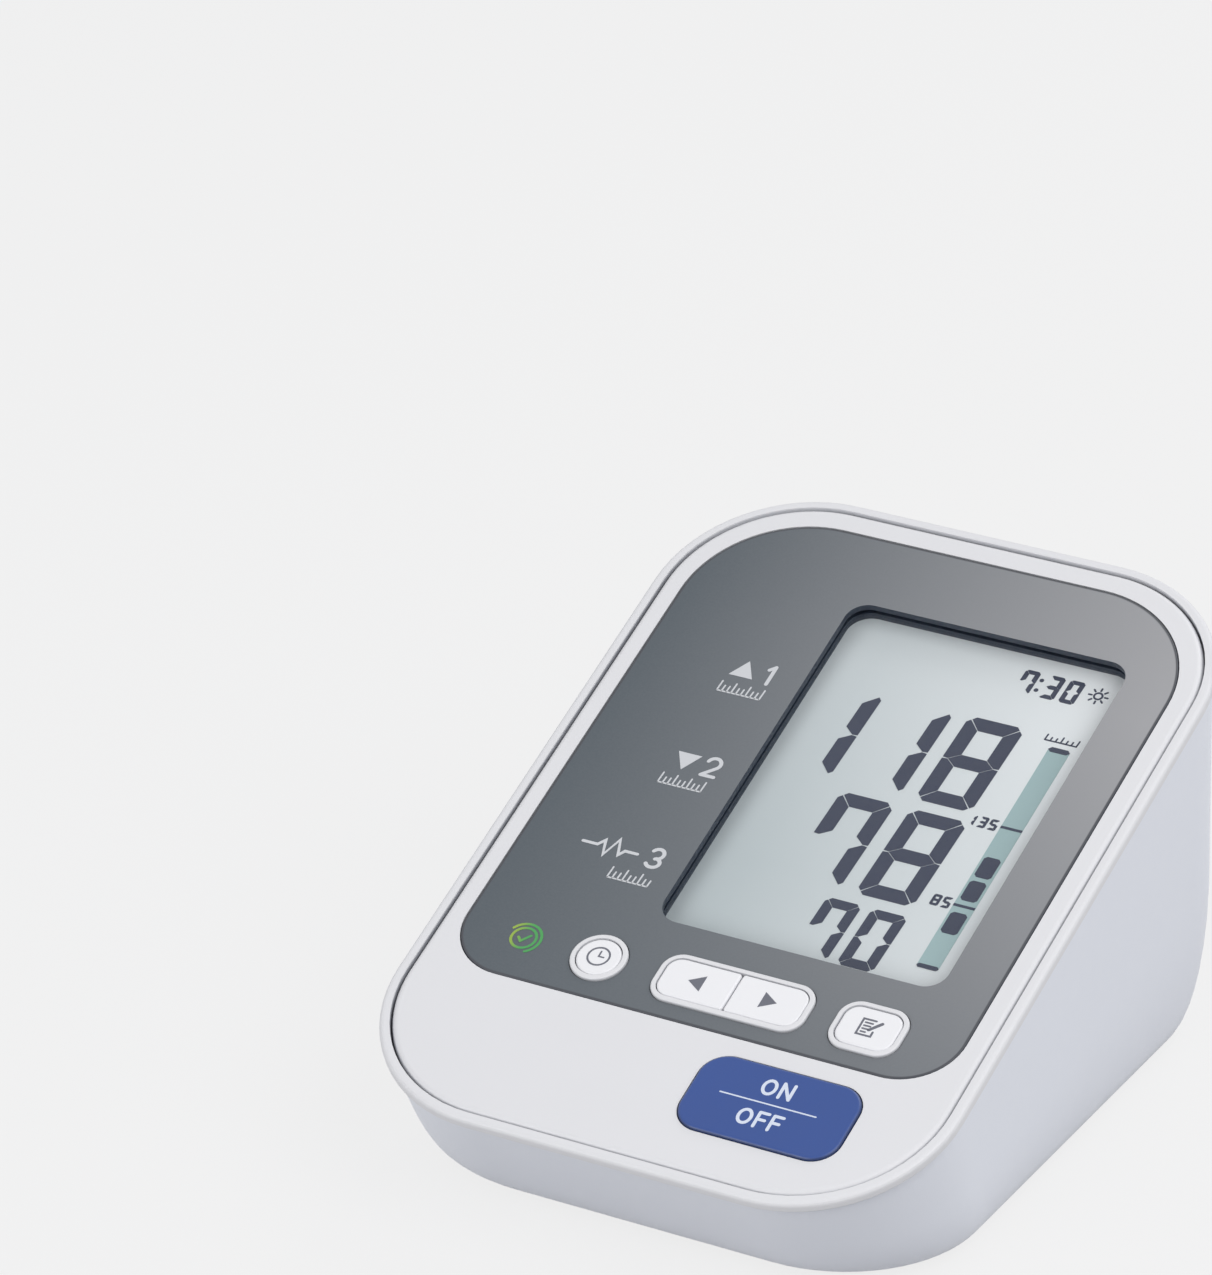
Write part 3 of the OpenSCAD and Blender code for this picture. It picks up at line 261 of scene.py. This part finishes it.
# Colours of the rim and cover, the case's walls tinted as painted cool shade, painted shade of edges and
# seams, window walls, display and print
WHITE = srgb(224, 224, 227)
# The case's walls: a cooler tint that stands in for their shade, painted cool shade
SHELL = srgb(232, 235, 243)
SHADOW = srgb(66, 68, 74)
# Painted shade of the seam gaps, a dark one and a paler one
GAP_SHADE, GAP_SHADE_PALE = srgb(160, 162, 168), srgb(205, 206, 210)
NAVY = srgb(36, 45, 60)
INK = srgb(46, 52, 73)
PALE = srgb(205, 207, 211)
BLUE = srgb(47, 76, 142)


def within(s, value, low, high, soft):
    """1 where a value lies between low and high, falling to 0 over a soft edge outside."""
    return s.math("MULTIPLY", s.ramp(value, low - soft, low), s.ramp(value, high + soft, high))


# Where the panel's painted shadow along its edge begins and is full, in mm outside its outline
PANEL_EDGE = (-0.75, -0.45)


def panel_material():
    """Satin grey with a painted reflection that makes it paler to the upper right, a fine painted shadow
    along its edge and dark walls in its window.
    """
    s = Shade("panel_grey_finish")
    u, v, _ = on_slope(s)
    # Painted reflection: the grey turns paler to the upper right
    pale = s.math("MULTIPLY", s.ramp(u, -46, 46, smooth=False), s.ramp(v, -12, 116, smooth=False))
    base = s.mix(pale, srgb(72, 81, 88), srgb(158, 158, 161))
    base = s.mix(s.math("MULTIPLY", s.noise(2600, 2, 0.6), 0.1), base, srgb(160, 162, 166))
    # Painted shadow of the gap round the panel, along its outline
    base = s.mix(s.ramp(outside(s, u, v, PANEL), *PANEL_EDGE), base, SHADOW)
    base = s.mix(s.ramp(facing_out(s), 0.55, 0.75), NAVY, base)
    return s.surface(base, s.uneven(s.noise(300), 0.4, 0.48), s.bump(s.noise(1800, 3), 0.004))


# How far the dark of the window's walls reaches round the window, and the stretch of h over which
# it begins, just below the panel
WINDOW_REACH, BELOW_PANEL = 2, (-1.1, -1.2)


def cover_material():
    """Satin white, dark below the panel in the display window, with painted shade of the seam where its
    edge turns into it.
    """
    s = Shade("cover_white_finish")
    u, v, h = on_slope(s)
    base = s.mix(s.noise(MOTTLE), tint(WHITE, 0.985), tint(WHITE, 1.01))
    # Painted shade of the seam on the cover's edge where it turns down
    base = s.mix(s.ramp(facing_out(s), 0.5, 0.8), GAP_SHADE_PALE, base)
    across = within(s, u, WINDOW[0] - WINDOW_REACH, WINDOW[1] + WINDOW_REACH, 1)
    along = within(s, v, WINDOW[2] - WINDOW_REACH, WINDOW[3] + WINDOW_REACH, 1)
    in_window = s.math("MULTIPLY", s.math("MULTIPLY", across, along), s.ramp(h, *BELOW_PANEL))
    base = s.mix(in_window, base, NAVY)
    return s.surface(base, s.uneven(s.noise(400), 0.42, 0.5), s.bump(s.noise(2200, 3), 0.004))


# Stretches of h over which the case turns from the walls' cooler tint of painted shade to the rim's white,
# and over which its light begins to be rounded
RIM_TURN, ROUNDED = (-2.6, -1.6), (-4, -8)
# Where the rim's inner wall takes the painted shade of the seam, as mm outside the seam's outline and as h
INNER_WALL, INNER_DEPTH = (-2.5, 0.03), (-4, -0.4)
# Stretch of v over which the painted shade on the wall beside the seam turns paler
REAR_TURN = (120, 146)


def case_material():
    """White on the rim and, as painted cool shade, a cooler tint below it, with painted shade of the seam
    on the rim's inner wall.

    The bevel node rounds the light over the small flats of the lower walls.
    """
    s = Shade("case_white_finish")
    u, v, h = on_slope(s)
    # Painted cool shade: the walls below the rim take a cooler tint than the rim
    base = s.mix(s.ramp(h, *RIM_TURN), SHELL, WHITE)
    base = s.mix(s.math("MULTIPLY", s.noise(MOTTLE), 0.04), base, srgb(200, 202, 208))
    # Painted shade of the seam on the rim's inner wall, paler towards the rear
    wall = within(s, outside(s, u, v, SEAM), *INNER_WALL, 0.03)
    beside = s.math("MULTIPLY", wall, within(s, h, *INNER_DEPTH, 0.2))
    base = s.mix(beside, base, s.mix(s.ramp(v, *REAR_TURN), GAP_SHADE, GAP_SHADE_PALE))
    rounded = s.add("Bevel", {"samples": 6}, Radius=4 * MM).outputs[0]
    plain = s.add("NewGeometry").outputs["Normal"]
    low = s.ramp(h, *ROUNDED)
    even = s.add("Mix", {"data_type": "VECTOR"}, i0=low, i4=plain, i5=rounded).outputs[1]
    normal = s.bump(s.noise(2200, 3), 0.006, under=even)
    return s.surface(base, s.uneven(s.noise(400), 0.44, 0.52), normal)


def display_material():
    """The display's pale ground, with painted light that makes it a little paler to the right and to the
    rear.
    """
    s = Shade("display_glass_finish")
    u, v, _ = on_slope(s)
    # Painted light: the ground turns paler to the right and to the rear
    to_rear = s.ramp(v, WINDOW[2] + 20, WINDOW[3] - 10, smooth=False)
    to_right = s.ramp(u, WINDOW[0] + 8, WINDOW[1] - 2, 0, 0.7, smooth=False)
    pale = s.math("MULTIPLY_ADD", to_rear, 0.3, to_right)
    base = s.mix(pale, srgb(189, 197, 200), srgb(235, 237, 239))
    base = s.mix(s.math("MULTIPLY", s.noise(1500, 1), 0.04), base, srgb(150, 158, 160))
    return s.surface(base, s.uneven(s.noise(200), 0.3, 0.36), s.bump(s.noise(900), 0.002))


def blue_material():
    """Blue, with painted shade where the key's edge turns down."""
    s = Shade("button_blue_finish")
    base = s.mix(s.noise(60), tint(BLUE, 0.96), tint(BLUE, 1.04))
    # Painted shade on the key's edge where it turns down
    base = s.mix(s.ramp(facing_out(s), 0.55, 0.95), tint(BLUE, 0.4), base)
    return s.surface(base, s.uneven(s.noise(400), 0.34, 0.42), s.bump(s.noise(2200, 3), 0.004))


def ring_material():
    """Green print, yellower on its left half."""
    s = Shade("lamp_ring_finish")
    u = on_slope(s)[0]
    base = s.mix(s.ramp(u, LAMP[0] - 2.6, LAMP[0] + 0.8), srgb(150, 176, 70), srgb(70, 158, 84))
    base = s.mix(s.math("MULTIPLY", s.noise(900), 0.15), base, srgb(96, 140, 80))
    return s.surface(base, 0.38, s.bump(s.noise(1800), 0.002))


FINISH = {
    "case_white": case_material(),
    "cover_white": cover_material(),
    "panel_grey": panel_material(),
    "window_clear": clear("window_clear_finish", (0.985, 0.99, 0.99, 1)),
    "frame_navy": moulded("frame_navy_finish", NAVY, 0.5),
    "display_glass": display_material(),
    "rubber_pink": moulded("rubber_pink_finish", srgb(214, 120, 140), 0.6, 0.05),
    "button_blue": blue_material(),
    "button_white": moulded("button_white_finish", srgb(237, 237, 240), 0.4, 0.01),
    "plunger_black": moulded("plunger_black_finish", srgb(34, 34, 36), 0.5, 0.06),
    "switch_steel": metal("switch_steel_finish", srgb(190, 192, 196)),
    "lamp_clear": moulded("lamp_clear_finish", srgb(150, 156, 158), 0.3, 0.03),
    "led_green": moulded("led_green_finish", srgb(120, 200, 110), 0.3, 0.03),
    "board_green": moulded("board_green_finish", srgb(36, 96, 60), 0.35, 0.06, 900),
    "chip_black": moulded("chip_black_finish", srgb(38, 38, 42), 0.55, 0.08),
    "screw_steel": metal("screw_steel_finish", srgb(176, 178, 182)),
    "sensor_plastic": moulded("sensor_plastic_finish", srgb(70, 72, 78), 0.45),
    "motor_can": metal("motor_can_finish", srgb(186, 188, 190), 0.28, (40, 900, 900)),
    "shaft_steel": metal("shaft_steel_finish", srgb(200, 202, 206), 0.22, (40, 900, 900)),
    "pump_plastic": moulded("pump_plastic_finish", srgb(222, 218, 206), 0.42, 0.03),
    "rubber_dark": moulded("rubber_dark_finish", srgb(60, 60, 62), 0.7, 0.06, 1500, 0.01),
    "valve_plastic": moulded("valve_plastic_finish", srgb(92, 94, 100), 0.45, 0.04),
    "spring_steel": metal("spring_steel_finish", srgb(196, 198, 200), 0.24, (900, 900, 900)),
    "hose_rubber": moulded("hose_rubber_finish", srgb(206, 190, 150), 0.5, 0.05, 1200, 0.008),
    "jack_plastic": moulded("jack_plastic_finish", srgb(214, 216, 222), 0.42, 0.03),
    "socket_black": moulded("socket_black_finish", srgb(36, 37, 40), 0.45, 0.06),
    "cell_steel": metal("cell_steel_finish", srgb(120, 132, 140), 0.3, (900, 900, 40)),
    "contact_plate": metal("contact_plate_finish", srgb(206, 204, 196), 0.25),
    "foot_rubber": moulded("foot_rubber_finish", srgb(74, 76, 80), 0.75, 0.07, 1500, 0.012),
}
for cad in frame["nodes"].values():
    for holder in cad.material_slots:
        holder.material = FINISH[holder.material.name.split(".")[0]]


# Mesh helpers
def piece(name, bm, material, body, smooth=None):
    """Turns a mesh into a piece that rides on a body; smooth is the angle of its sharp edges."""
    bmesh.ops.recalc_face_normals(bm, faces=bm.faces)
    data = bpy.data.meshes.new(name)
    bm.to_mesh(data)
    bm.free()
    obj = bpy.data.objects.new(name, data)
    bpy.context.scene.collection.objects.link(obj)
    data.materials.append(material)
    if smooth is not None:
        data.shade_smooth()
        data.set_sharp_from_angle(angle=math.radians(smooth))
    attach(obj, body)
    return obj


def extrude(bm, outline, h0, h1):
    """A plate over a flat outline of (u, v) points, from h0 up to h1."""
    low = [bm.verts.new(face_point(u, v, h0)) for u, v in outline]
    top = [bm.verts.new(face_point(u, v, h1)) for u, v in outline]
    bm.faces.new(top)
    bm.faces.new(low[::-1])
    n = len(outline)
    for i in range(n):
        j = (i + 1) % n
        bm.faces.new((low[i], low[j], top[j], top[i]))


# Steps in the round end of a stroke, and the least share of its width there
END_STEPS, END_LEAST = 4, 0.12
# A stroke's corner reaches out at most twice its half width
MITRE_LEAST = 0.5


def left_of(d):
    """A direction turned a quarter to its left."""
    return Vector((-d.y, d.x))


def stroke(bm, points, w, h0, h1, closed=False):
    """A line of width w drawn through (u, v) points with round ends, standing from h0 to h1."""
    pts = [Vector(p) for p in points]
    n = len(pts)
    spots = []
    for i, p in enumerate(pts):
        before = pts[i - 1] if i or closed else None
        after = pts[(i + 1) % n] if i < n - 1 or closed else None
        d0 = (p - before).normalized() if before is not None else None
        d1 = (after - p).normalized() if after is not None else None
        side = left_of(((d0 or d1) + (d1 or d0)).normalized())
        reach = 1 / max(MITRE_LEAST, side.dot(left_of(d1 or d0)))
        spots.append((p, side * (w / 2 * reach)))
    if not closed:
        turns = [math.pi / 2 * k / END_STEPS for k in range(1, END_STEPS + 1)]
        for at_end in (False, True):
            p, side = spots[-1] if at_end else spots[0]
            out = Vector((side.y, -side.x)) * (1 if at_end else -1)
            cap = [(p + out * math.sin(a), side * max(END_LEAST, math.cos(a))) for a in turns]
            spots = spots + cap if at_end else cap[::-1] + spots
    rows = []
    for p, side in spots:
        a, b = p + side, p - side
        corners = ((a, h0), (b, h0), (b, h1), (a, h1))
        rows.append([bm.verts.new(face_point(q.x, q.y, h)) for q, h in corners])
    m = len(rows)
    for i in range(m if closed else m - 1):
        r, s = rows[i], rows[(i + 1) % m]
        for k in range(4):
            bm.faces.new((r[k], r[(k + 1) % 4], s[(k + 1) % 4], s[k]))
    if not closed:
        bm.faces.new(rows[0])
        bm.faces.new(rows[-1][::-1])


def arc(cu, cv, r, a0, a1, steps, rv=None):
    """Points of an arc from a0 to a1 degrees, rv being its radius along v where that differs."""
    turns = [math.radians(a0 + (a1 - a0) * i / steps) for i in range(steps + 1)]
    return [(cu + r * math.cos(a), cv + (rv or r) * math.sin(a)) for a in turns]


def ring(cu, cv, r, steps):
    """Points of a full circle."""
    return arc(cu, cv, r, 0, 360 * (steps - 1) / steps, steps - 1)


# Lines of each sign in a box 1 high, with its width
SIGNS = {
    "1": (0.42, [[(0.02, 0.78), (0.24, 1)], [(0.24, 1), (0.24, 0)]]),
    "2": (0.62, [arc(0.31, 0.7, 0.3, 165, -38, 14) + [(0.02, 0)], [(0.02, 0), (0.62, 0)]]),
    "3": (0.6, [arc(0.29, 0.74, 0.27, 155, -90, 12), arc(0.29, 0.25, 0.3, 80, -155, 12, 0.25)]),
    "O": (0.78, [arc(0.39, 0.5, 0.36, 0, 350, 24, 0.47)]),
    "N": (0.68, [[(0.03, 0), (0.03, 1)], [(0.03, 1), (0.65, 0)], [(0.65, 0), (0.65, 1)]]),
    "F": (0.56, [[(0.03, 0), (0.03, 1)], [(0.03, 1), (0.56, 1)], [(0.03, 0.52), (0.48, 0.52)]]),
}


# Gap between signs, as a share of their height
SIGN_GAP = 0.3
# Each next line of a sign stands this much higher, so that lines that cross don't share a plane
LINE_LIFT = 0.004


def write(bm, text, u, v, height, w, h0, h1):
    """Draws the signs of a text, its middle at u and its foot at v."""
    total = sum(SIGNS[c][0] for c in text) + SIGN_GAP * (len(text) - 1)
    x = u - total * height / 2
    for c in text:
        wide, lines = SIGNS[c]
        for k, line in enumerate(lines):
            pts = [(x + a * height, v + b * height) for a, b in line]
            stroke(bm, pts, w, h0, h1 + LINE_LIFT * k, closed=c == "O")
        x += (wide + SIGN_GAP) * height


# Display segments, level bar and their inks
INK_FINISH = moulded("display_ink_finish", INK, 0.4, 0.05, 1200, 0.001)
TEAL_FINISH = moulded("display_bar_finish", srgb(158, 182, 184), 0.4, 0.04, 1200, 0.001)
PALE_FINISH = moulded("print_pale_finish", PALE, 0.45, 0.03)
GLYPH_FINISH = moulded("print_grey_finish", srgb(104, 106, 116), 0.45, 0.05)
LETTER_FINISH = moulded("print_white_finish", srgb(214, 222, 238), 0.42, 0.03)
GREEN_FINISH = ring_material()
# Lit segments of each digit, how far the digits lean to the right, and their foot and top as h
LIT = {"0": "abcdef", "1": "bc", "3": "abcdg", "5": "acdfg", "7": "abcf", "8": "abcdefg"}
LEAN = math.tan(math.radians(2.2))
INK_H = (LCD_TOP, LCD_TOP + 0.06)


def digit(bm, sign, u0, v0, w, height, s):
    """One seven-segment digit with its lower left corner at u0, v0 and strokes s wide."""
    # Half the gap between segments, the cut at their corners and the middle of the digit
    g, c, m = 0.028 * s, 0.5 * s, height / 2
    shapes = {
        "a": [(c, height), (w - c, height), (w - c / 2 - g, height - c / 2 + g), (w - s - g, height - s),
            (s + g, height - s), (c / 2 + g, height - c / 2 + g)],
        "f": [(0, height - c), (c / 2 - g, height - c / 2 - g), (s, height - s - g), (s, m + s / 2 + g),
            (0.35 * s, m + g), (0, m + 2 * g)],
        "b": [(w, height - c), (w, m + 2 * g), (w - 0.35 * s, m + g), (w - s, m + s / 2 + g),
            (w - s, height - s - g), (w - c / 2 + g, height - c / 2 - g)],
        "g": [(0.35 * s + g, m), (s + g, m + s / 2), (w - s - g, m + s / 2), (w - 0.35 * s - g, m),
            (w - s - g, m - s / 2), (s + g, m - s / 2)],
    }
    for low, high in (("d", "a"), ("e", "f"), ("c", "b")):
        shapes[low] = [(x, height - y) for x, y in shapes[high]]
    for k in LIT[sign]:
        extrude(bm, [(u0 + x + LEAN * y, v0 + y) for x, y in shapes[k]], *INK_H)


bm = bmesh.new()
# Each digit's sign, left edge, foot, width, height and stroke
for sign, *place in (
    ("1", -11.1, 90.8, 7.5, 20.8, 2.9), ("1", 2.5, 90.8, 7.5, 20.8, 2.9),
    ("8", 12.9, 90.8, 10.7, 20.8, 2.9),
    ("7", -0.8, 67.8, 10.4, 20.7, 2.9), ("8", 12.6, 67.8, 10.9, 20.7, 2.9),
    ("7", 8.0, 52.2, 6.7, 13.3, 1.95), ("0", 16.6, 52.2, 6.8, 13.3, 1.95),
    ("7", 18.3, 119.3, 2.9, 5.5, 0.9), ("3", 23.1, 119.3, 2.9, 5.5, 0.9),
    ("0", 26.9, 119.3, 2.9, 5.5, 0.9),
    ("1", 24.0, 88.1, 1.2, 2.5, 0.5), ("3", 25.8, 88.1, 1.6, 2.5, 0.5), ("5", 27.8, 88.1, 1.6, 2.5, 0.5),
    ("8", 25.8, 69.4, 1.6, 2.5, 0.5), ("5", 27.8, 69.4, 1.6, 2.5, 0.5),
):
    digit(bm, sign, *place)
# The colon of the clock
for v in (120.7, 123.1):
    extrude(bm, ring(22.15, v, 0.42, 12), *INK_H)


# Sides of the level bar at its foot, the foot's place and how far the bar leans
BAR_U, BAR_FOOT, BAR_LEAN = (29.85, 33.9), 56, 0.006


def bar(bm, v0, v1, h, r=0.0, inset=0.0):
    """A stretch of the level bar, with corners cut by r and its sides set in."""
    u0, u1 = BAR_U[0] + inset, BAR_U[1] - inset
    outline = [(u0 + r, v0), (u1 - r, v0), (u1, v0 + r), (u1, v1 - r)]
    outline += [(u1 - r, v1), (u0 + r, v1), (u0, v1 - r), (u0, v0 + r)]
    if r == 0:
        outline = outline[1::2]
    extrude(bm, [(u + BAR_LEAN * (v - BAR_FOOT), v) for u, v in outline], *h)


TICK_PITCH = 0.95


def scale(bm, u0, u1, v, height, h, w=0.3):
    """A row of ticks, every third one longer, over a base line."""
    count = round((u1 - u0) / TICK_PITCH)
    for k in range(count + 1):
        u = u0 + (u1 - u0) * k / count
        stroke(bm, [(u, v), (u + 0.1, v + height * (1 if k % 3 == 0 else 0.6))], w, *h)
    stroke(bm, [(u0, v), (u1, v)], w, *h)


# Blocks and marks over the level bar, then its unit's ticks and the sun beside the clock
OVER_H = (LCD_TOP + 0.04, LCD_TOP + 0.1)
bar(bm, 108.0, 109.1, OVER_H, 0.5)
for v0, v1 in ((77.5, 82.3), (71.95, 76.6), (64.2, 69.1)):
    bar(bm, v0, v1, OVER_H, 0.5, 0.45)
bar(bm, 55.9, 56.8, OVER_H, 0.35)
for v in (89.35, 70.65):
    bar(bm, v - 0.28, v + 0.28, OVER_H)
scale(bm, 28.6, 34.6, 110.4, 1.3, INK_H, 0.28)
SUN_U, SUN_V = 33.2, 122.6
stroke(bm, ring(SUN_U, SUN_V, 0.75, 20), 0.36, *INK_H, closed=True)
for k in range(8):
    a = math.radians(45 * k)
    stroke(bm, [(SUN_U + r * math.cos(a), SUN_V + r * math.sin(a)) for r in (1.25, 1.8)], 0.34, *INK_H)
piece("display_digits", bm, INK_FINISH, "case")
bm = bmesh.new()
bar(bm, 56.5, 108.4, INK_H)
piece("display_level_bar", bm, TEAL_FINISH, "case")

# Marks on the panel: a numeral and a sign at each row of the display, over a small scale
PRINT_H = (-0.02, 0.05)
NUMERAL_H, NUMERAL_W = 4.2, 0.7
bm = bmesh.new()
# Numeral, its foot, and 1 for a triangle that points up or -1 for one that points down
for sign, v, up in (("1", 104.6, 1), ("2", 81.6, -1)):
    write(bm, sign, -22.2, v, NUMERAL_H, NUMERAL_W, *PRINT_H)
    cv = v + NUMERAL_H / 2
    triangle = [(-29.6, cv - 1.8 * up), (-25.0, cv - 1.8 * up), (-27.3, cv + 2.1 * up)]
    extrude(bm, triangle[::up], *PRINT_H)
    scale(bm, -29.9, -21.6, v - 3.8, 2.3, PRINT_H)
write(bm, "3", -21.9, 59.3, NUMERAL_H, NUMERAL_W, *PRINT_H)
beat = ((0, 0), (2.8, 0), (3.8, 1.3), (4.8, -1.9), (6.2, 2.2), (7.4, -1.2), (8.2, 0), (10.6, 0))
stroke(bm, [(du - 36, dv + 61.3) for du, dv in beat], 0.6, *PRINT_H)
scale(bm, -28.1, -20.4, 55.0, 2.4, PRINT_H)
piece("panel_marks", bm, PALE_FINISH, "case")

# The ring round the guide lamp, with a check mark in it
RING_W = 0.5
bm = bmesh.new()
u, v = LAMP
stroke(bm, ring(u, v, 2.25, 36), RING_W, *PRINT_H, closed=True)
stroke(bm, arc(u, v, 3.15, 150, -60, 26), RING_W, *PRINT_H)
stroke(bm, [(u - 0.95, v - 0.05), (u - 0.25, v - 0.8), (u + 1.05, v + 0.8)], RING_W, *PRINT_H)
piece("lamp_ring", bm, GREEN_FINISH, "case")

# Marks on the buttons
KEY_H = (RISE - 0.02, RISE + 0.03)
LETTER_H, LETTER_W = 3.1, 0.6
bm = bmesh.new()
u, v = START
write(bm, "ON", u - 0.2, v + 2.2, LETTER_H, LETTER_W, *KEY_H)
write(bm, "OFF", u - 0.3, v - 4.7, LETTER_H, LETTER_W, *KEY_H)
stroke(bm, [(u - 9.3, v + 0.35), (u + 8.5, v + 0.35)], 0.28, *KEY_H)
piece("start_letters", bm, LETTER_FINISH, "start")

bm = bmesh.new()
u, v = CLOCK
stroke(bm, ring(u, v, 1.95, 36), 0.34, *KEY_H, closed=True)
stroke(bm, [(u, v + 1.15), (u, v), (u + 0.95, v)], 0.3, *KEY_H)
piece("clock_mark", bm, GLYPH_FINISH, "clock")
for name, (u, v), s in (("back", BACK, -1), ("forward", FORWARD, 1)):
    bm = bmesh.new()
    triangle = [(u - 1.2 * s, v - 1.75), (u + 1.6 * s, v), (u - 1.2 * s, v + 1.75)]
    extrude(bm, triangle[::s], *KEY_H)
    piece(name + "_mark", bm, GLYPH_FINISH, name)
bm = bmesh.new()
u, v = MEMORY
# A sheet with lines on it and a pen
sheet = ((0.7, 1.7), (-1.6, 1.7), (-1.6, -1.7), (1.1, -1.7), (1.1, -0.7))
stroke(bm, [(u + du, v + dv) for du, dv in sheet], 0.38, *KEY_H)
for k in range(4):
    stroke(bm, [(u - 1.0, v + 1.0 - 0.68 * k), (u + 0.35 - 0.17 * k, v + 1.0 - 0.68 * k)], 0.34, *KEY_H)
stroke(bm, [(u + 0.25, v - 0.4), (u + 1.9, v + 1.45)], 0.6, *KEY_H)
piece("memory_mark", bm, GLYPH_FINISH, "memory")

# The valve's return spring, which its plunger presses together as it lifts: its wire's radius, its
# turns, the gap between the plunger and its foot, the rings in a turn and the sides of the wire
SPRING_WIRE, SPRING_TURNS, SPRING_GAP = 0.25 * MM, 3, 0.02 * MM
SPRING_RINGS, SPRING_SIDES = 24, 10


def coil(bm, cx, cy, z0, z1, r):
    """The spring round an axis at cx, cy from z0 up to z1, in metres, with closed ends."""
    rows = []
    around = [math.tau * k / SPRING_SIDES for k in range(SPRING_SIDES)]
    count = SPRING_TURNS * SPRING_RINGS
    for i in range(count + 1):
        a = math.tau * i / SPRING_RINGS
        z = z0 + SPRING_WIRE + (z1 - z0 - 2 * SPRING_WIRE) * i / count
        spots = [(r + SPRING_WIRE * math.cos(b), z + SPRING_WIRE * math.sin(b)) for b in around]
        rows.append([bm.verts.new((cx + c * math.cos(a), cy + c * math.sin(a), h)) for c, h in spots])
    for row, after in zip(rows, rows[1:]):
        for k in range(SPRING_SIDES):
            j = (k + 1) % SPRING_SIDES
            bm.faces.new((row[k], after[k], after[j], row[j]))
    bm.faces.new(rows[0])
    bm.faces.new(rows[-1][::-1])


lift = next(j for j in frame["joints"] if j["name"] == "valve_lift")
(x0, y0, z0), (x1, y1, z1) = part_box("valve_spring")
foot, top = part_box("valve_plunger")[1][2], lift["deforming_nodes"][0]["fixed_end_z_m"]
axis_x, axis_y = (x0 + x1) / 2, (y0 + y1) / 2
bm = bmesh.new()
coil(bm, axis_x, axis_y, foot + SPRING_GAP, top, (x1 - x0) / 2 - SPRING_WIRE)
spring = piece("return_spring", bm, FINISH["spring_steel"], "case", 40)
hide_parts("valve_spring")
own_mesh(spring)

# Floor, light and camera


def background_rays(tree):
    """1 for rays that show the background: those of the camera, of a gloss and of clear plastic."""
    path = tree.nodes.new("ShaderNodeLightPath")
    rays = path.outputs["Is Camera Ray"]
    for kind in ("Is Glossy Ray", "Is Transmission Ray"):
        either = tree.nodes.new("ShaderNodeMath")
        either.operation = "MAXIMUM"
        tree.links.new(rays, either.inputs[0])
        tree.links.new(path.outputs[kind], either.inputs[1])
        rays = either.outputs[0]
    return rays


# Share of the floor's own white in what the background rays see; the rest keeps the shadow
FLOOR_GLOW = 0.8
# The floor lies a little below the feet and reaches this many metres to each side
FLOOR_DROP, FLOOR_HALF = 0.1 * MM, 3
s = Shade("floor_finish")
paper = s.add("BsdfDiffuse", Color=s.mix(s.noise(3), (0.41, 0.41, 0.42, 1), (0.44, 0.44, 0.45, 1)))
glow = s.add("Emission", Color=(1, 1, 1, 1), Strength=1.0)
seen = s.math("MULTIPLY", background_rays(s.tree), FLOOR_GLOW)
s.finish(s.add("MixShader", i0=seen, i1=paper.outputs[0], i2=glow.outputs[0]).outputs[0])
bm = bmesh.new()
bmesh.ops.create_grid(bm, x_segments=8, y_segments=8, size=FLOOR_HALF)
data = bpy.data.meshes.new("floor")
bm.to_mesh(data)
bm.free()
floor = bpy.data.objects.new("floor", data)
floor.location.z = -FLOOR_DROP
data.materials.append(s.material)
bpy.context.scene.collection.objects.link(floor)

# Strength of the world on the object and as a background
AMBIENT, BACKDROP = 0.42, 1.0
world = bpy.data.worlds.new("studio")
bpy.context.scene.world = world
world.use_nodes = True
t = world.node_tree
t.nodes.clear()
out = t.nodes.new("ShaderNodeOutputWorld")
back = t.nodes.new("ShaderNodeBackground")
level = t.nodes.new("ShaderNodeMapRange")
level.inputs["To Min"].default_value = AMBIENT
level.inputs["To Max"].default_value = BACKDROP
t.links.new(background_rays(t), level.inputs["Value"])
t.links.new(level.outputs[0], back.inputs["Strength"])
back.inputs["Color"].default_value = (0.97, 0.98, 1, 1)
t.links.new(back.outputs[0], out.inputs["Surface"])


def lamp(name, at, to, size, power):
    """A soft rectangular light in metres and watts, turned to a point."""
    light = bpy.data.lights.new(name, "AREA")
    light.shape = "RECTANGLE"
    light.size, light.size_y = size
    light.energy = power
    obj = bpy.data.objects.new(name, light)
    bpy.context.scene.collection.objects.link(obj)
    obj.location = at
    obj.rotation_euler = (Vector(to) - Vector(at)).to_track_quat("-Z", "Y").to_euler()


lamp("key", (0.95, -0.25, 1.0), (0, 0, 0.03), (1.1, 1.1), 10)
lamp("fill", (-0.5, -1.25, 0.45), (0, 0, 0.03), (0.9, 0.7), 7.4)
lamp("back", (0.2, 1.1, 1.0), (0, 0, 0.04), (1.0, 0.6), 5)

# The camera: its direction, the point it looks at and its distance from there in metres
AZIMUTH, ELEVATION, ROLL = (math.radians(a) for a in (28.96, 25.4, 0.3))
TARGET = Vector((-39.3, 1.38, 77.62)) * MM
DISTANCE = 1.2339
# Its focal length and the long side of its picture in pixels, and the sensor's long side
FOCAL_PX, LONG_SIDE_PX, SENSOR_MM = 7200, 1275, 36
camera = bpy.data.cameras.new("camera")
camera.sensor_width = SENSOR_MM
camera.sensor_fit = "AUTO"
camera.lens = SENSOR_MM * FOCAL_PX / LONG_SIDE_PX
camera.clip_start, camera.clip_end = 0.05, 30
eye = bpy.data.objects.new("camera", camera)
bpy.context.scene.collection.objects.link(eye)
turn = Matrix.Rotation(AZIMUTH, 4, "Z") @ Matrix.Rotation(math.pi / 2 - ELEVATION, 4, "X")
eye.matrix_world = (Matrix.Translation(TARGET) @ turn @ Matrix.Rotation(ROLL, 4, "Z")
    @ Matrix.Translation((0, 0, DISTANCE)))
bpy.context.scene.camera = eye
bpy.context.scene.view_settings.view_transform = "Standard"
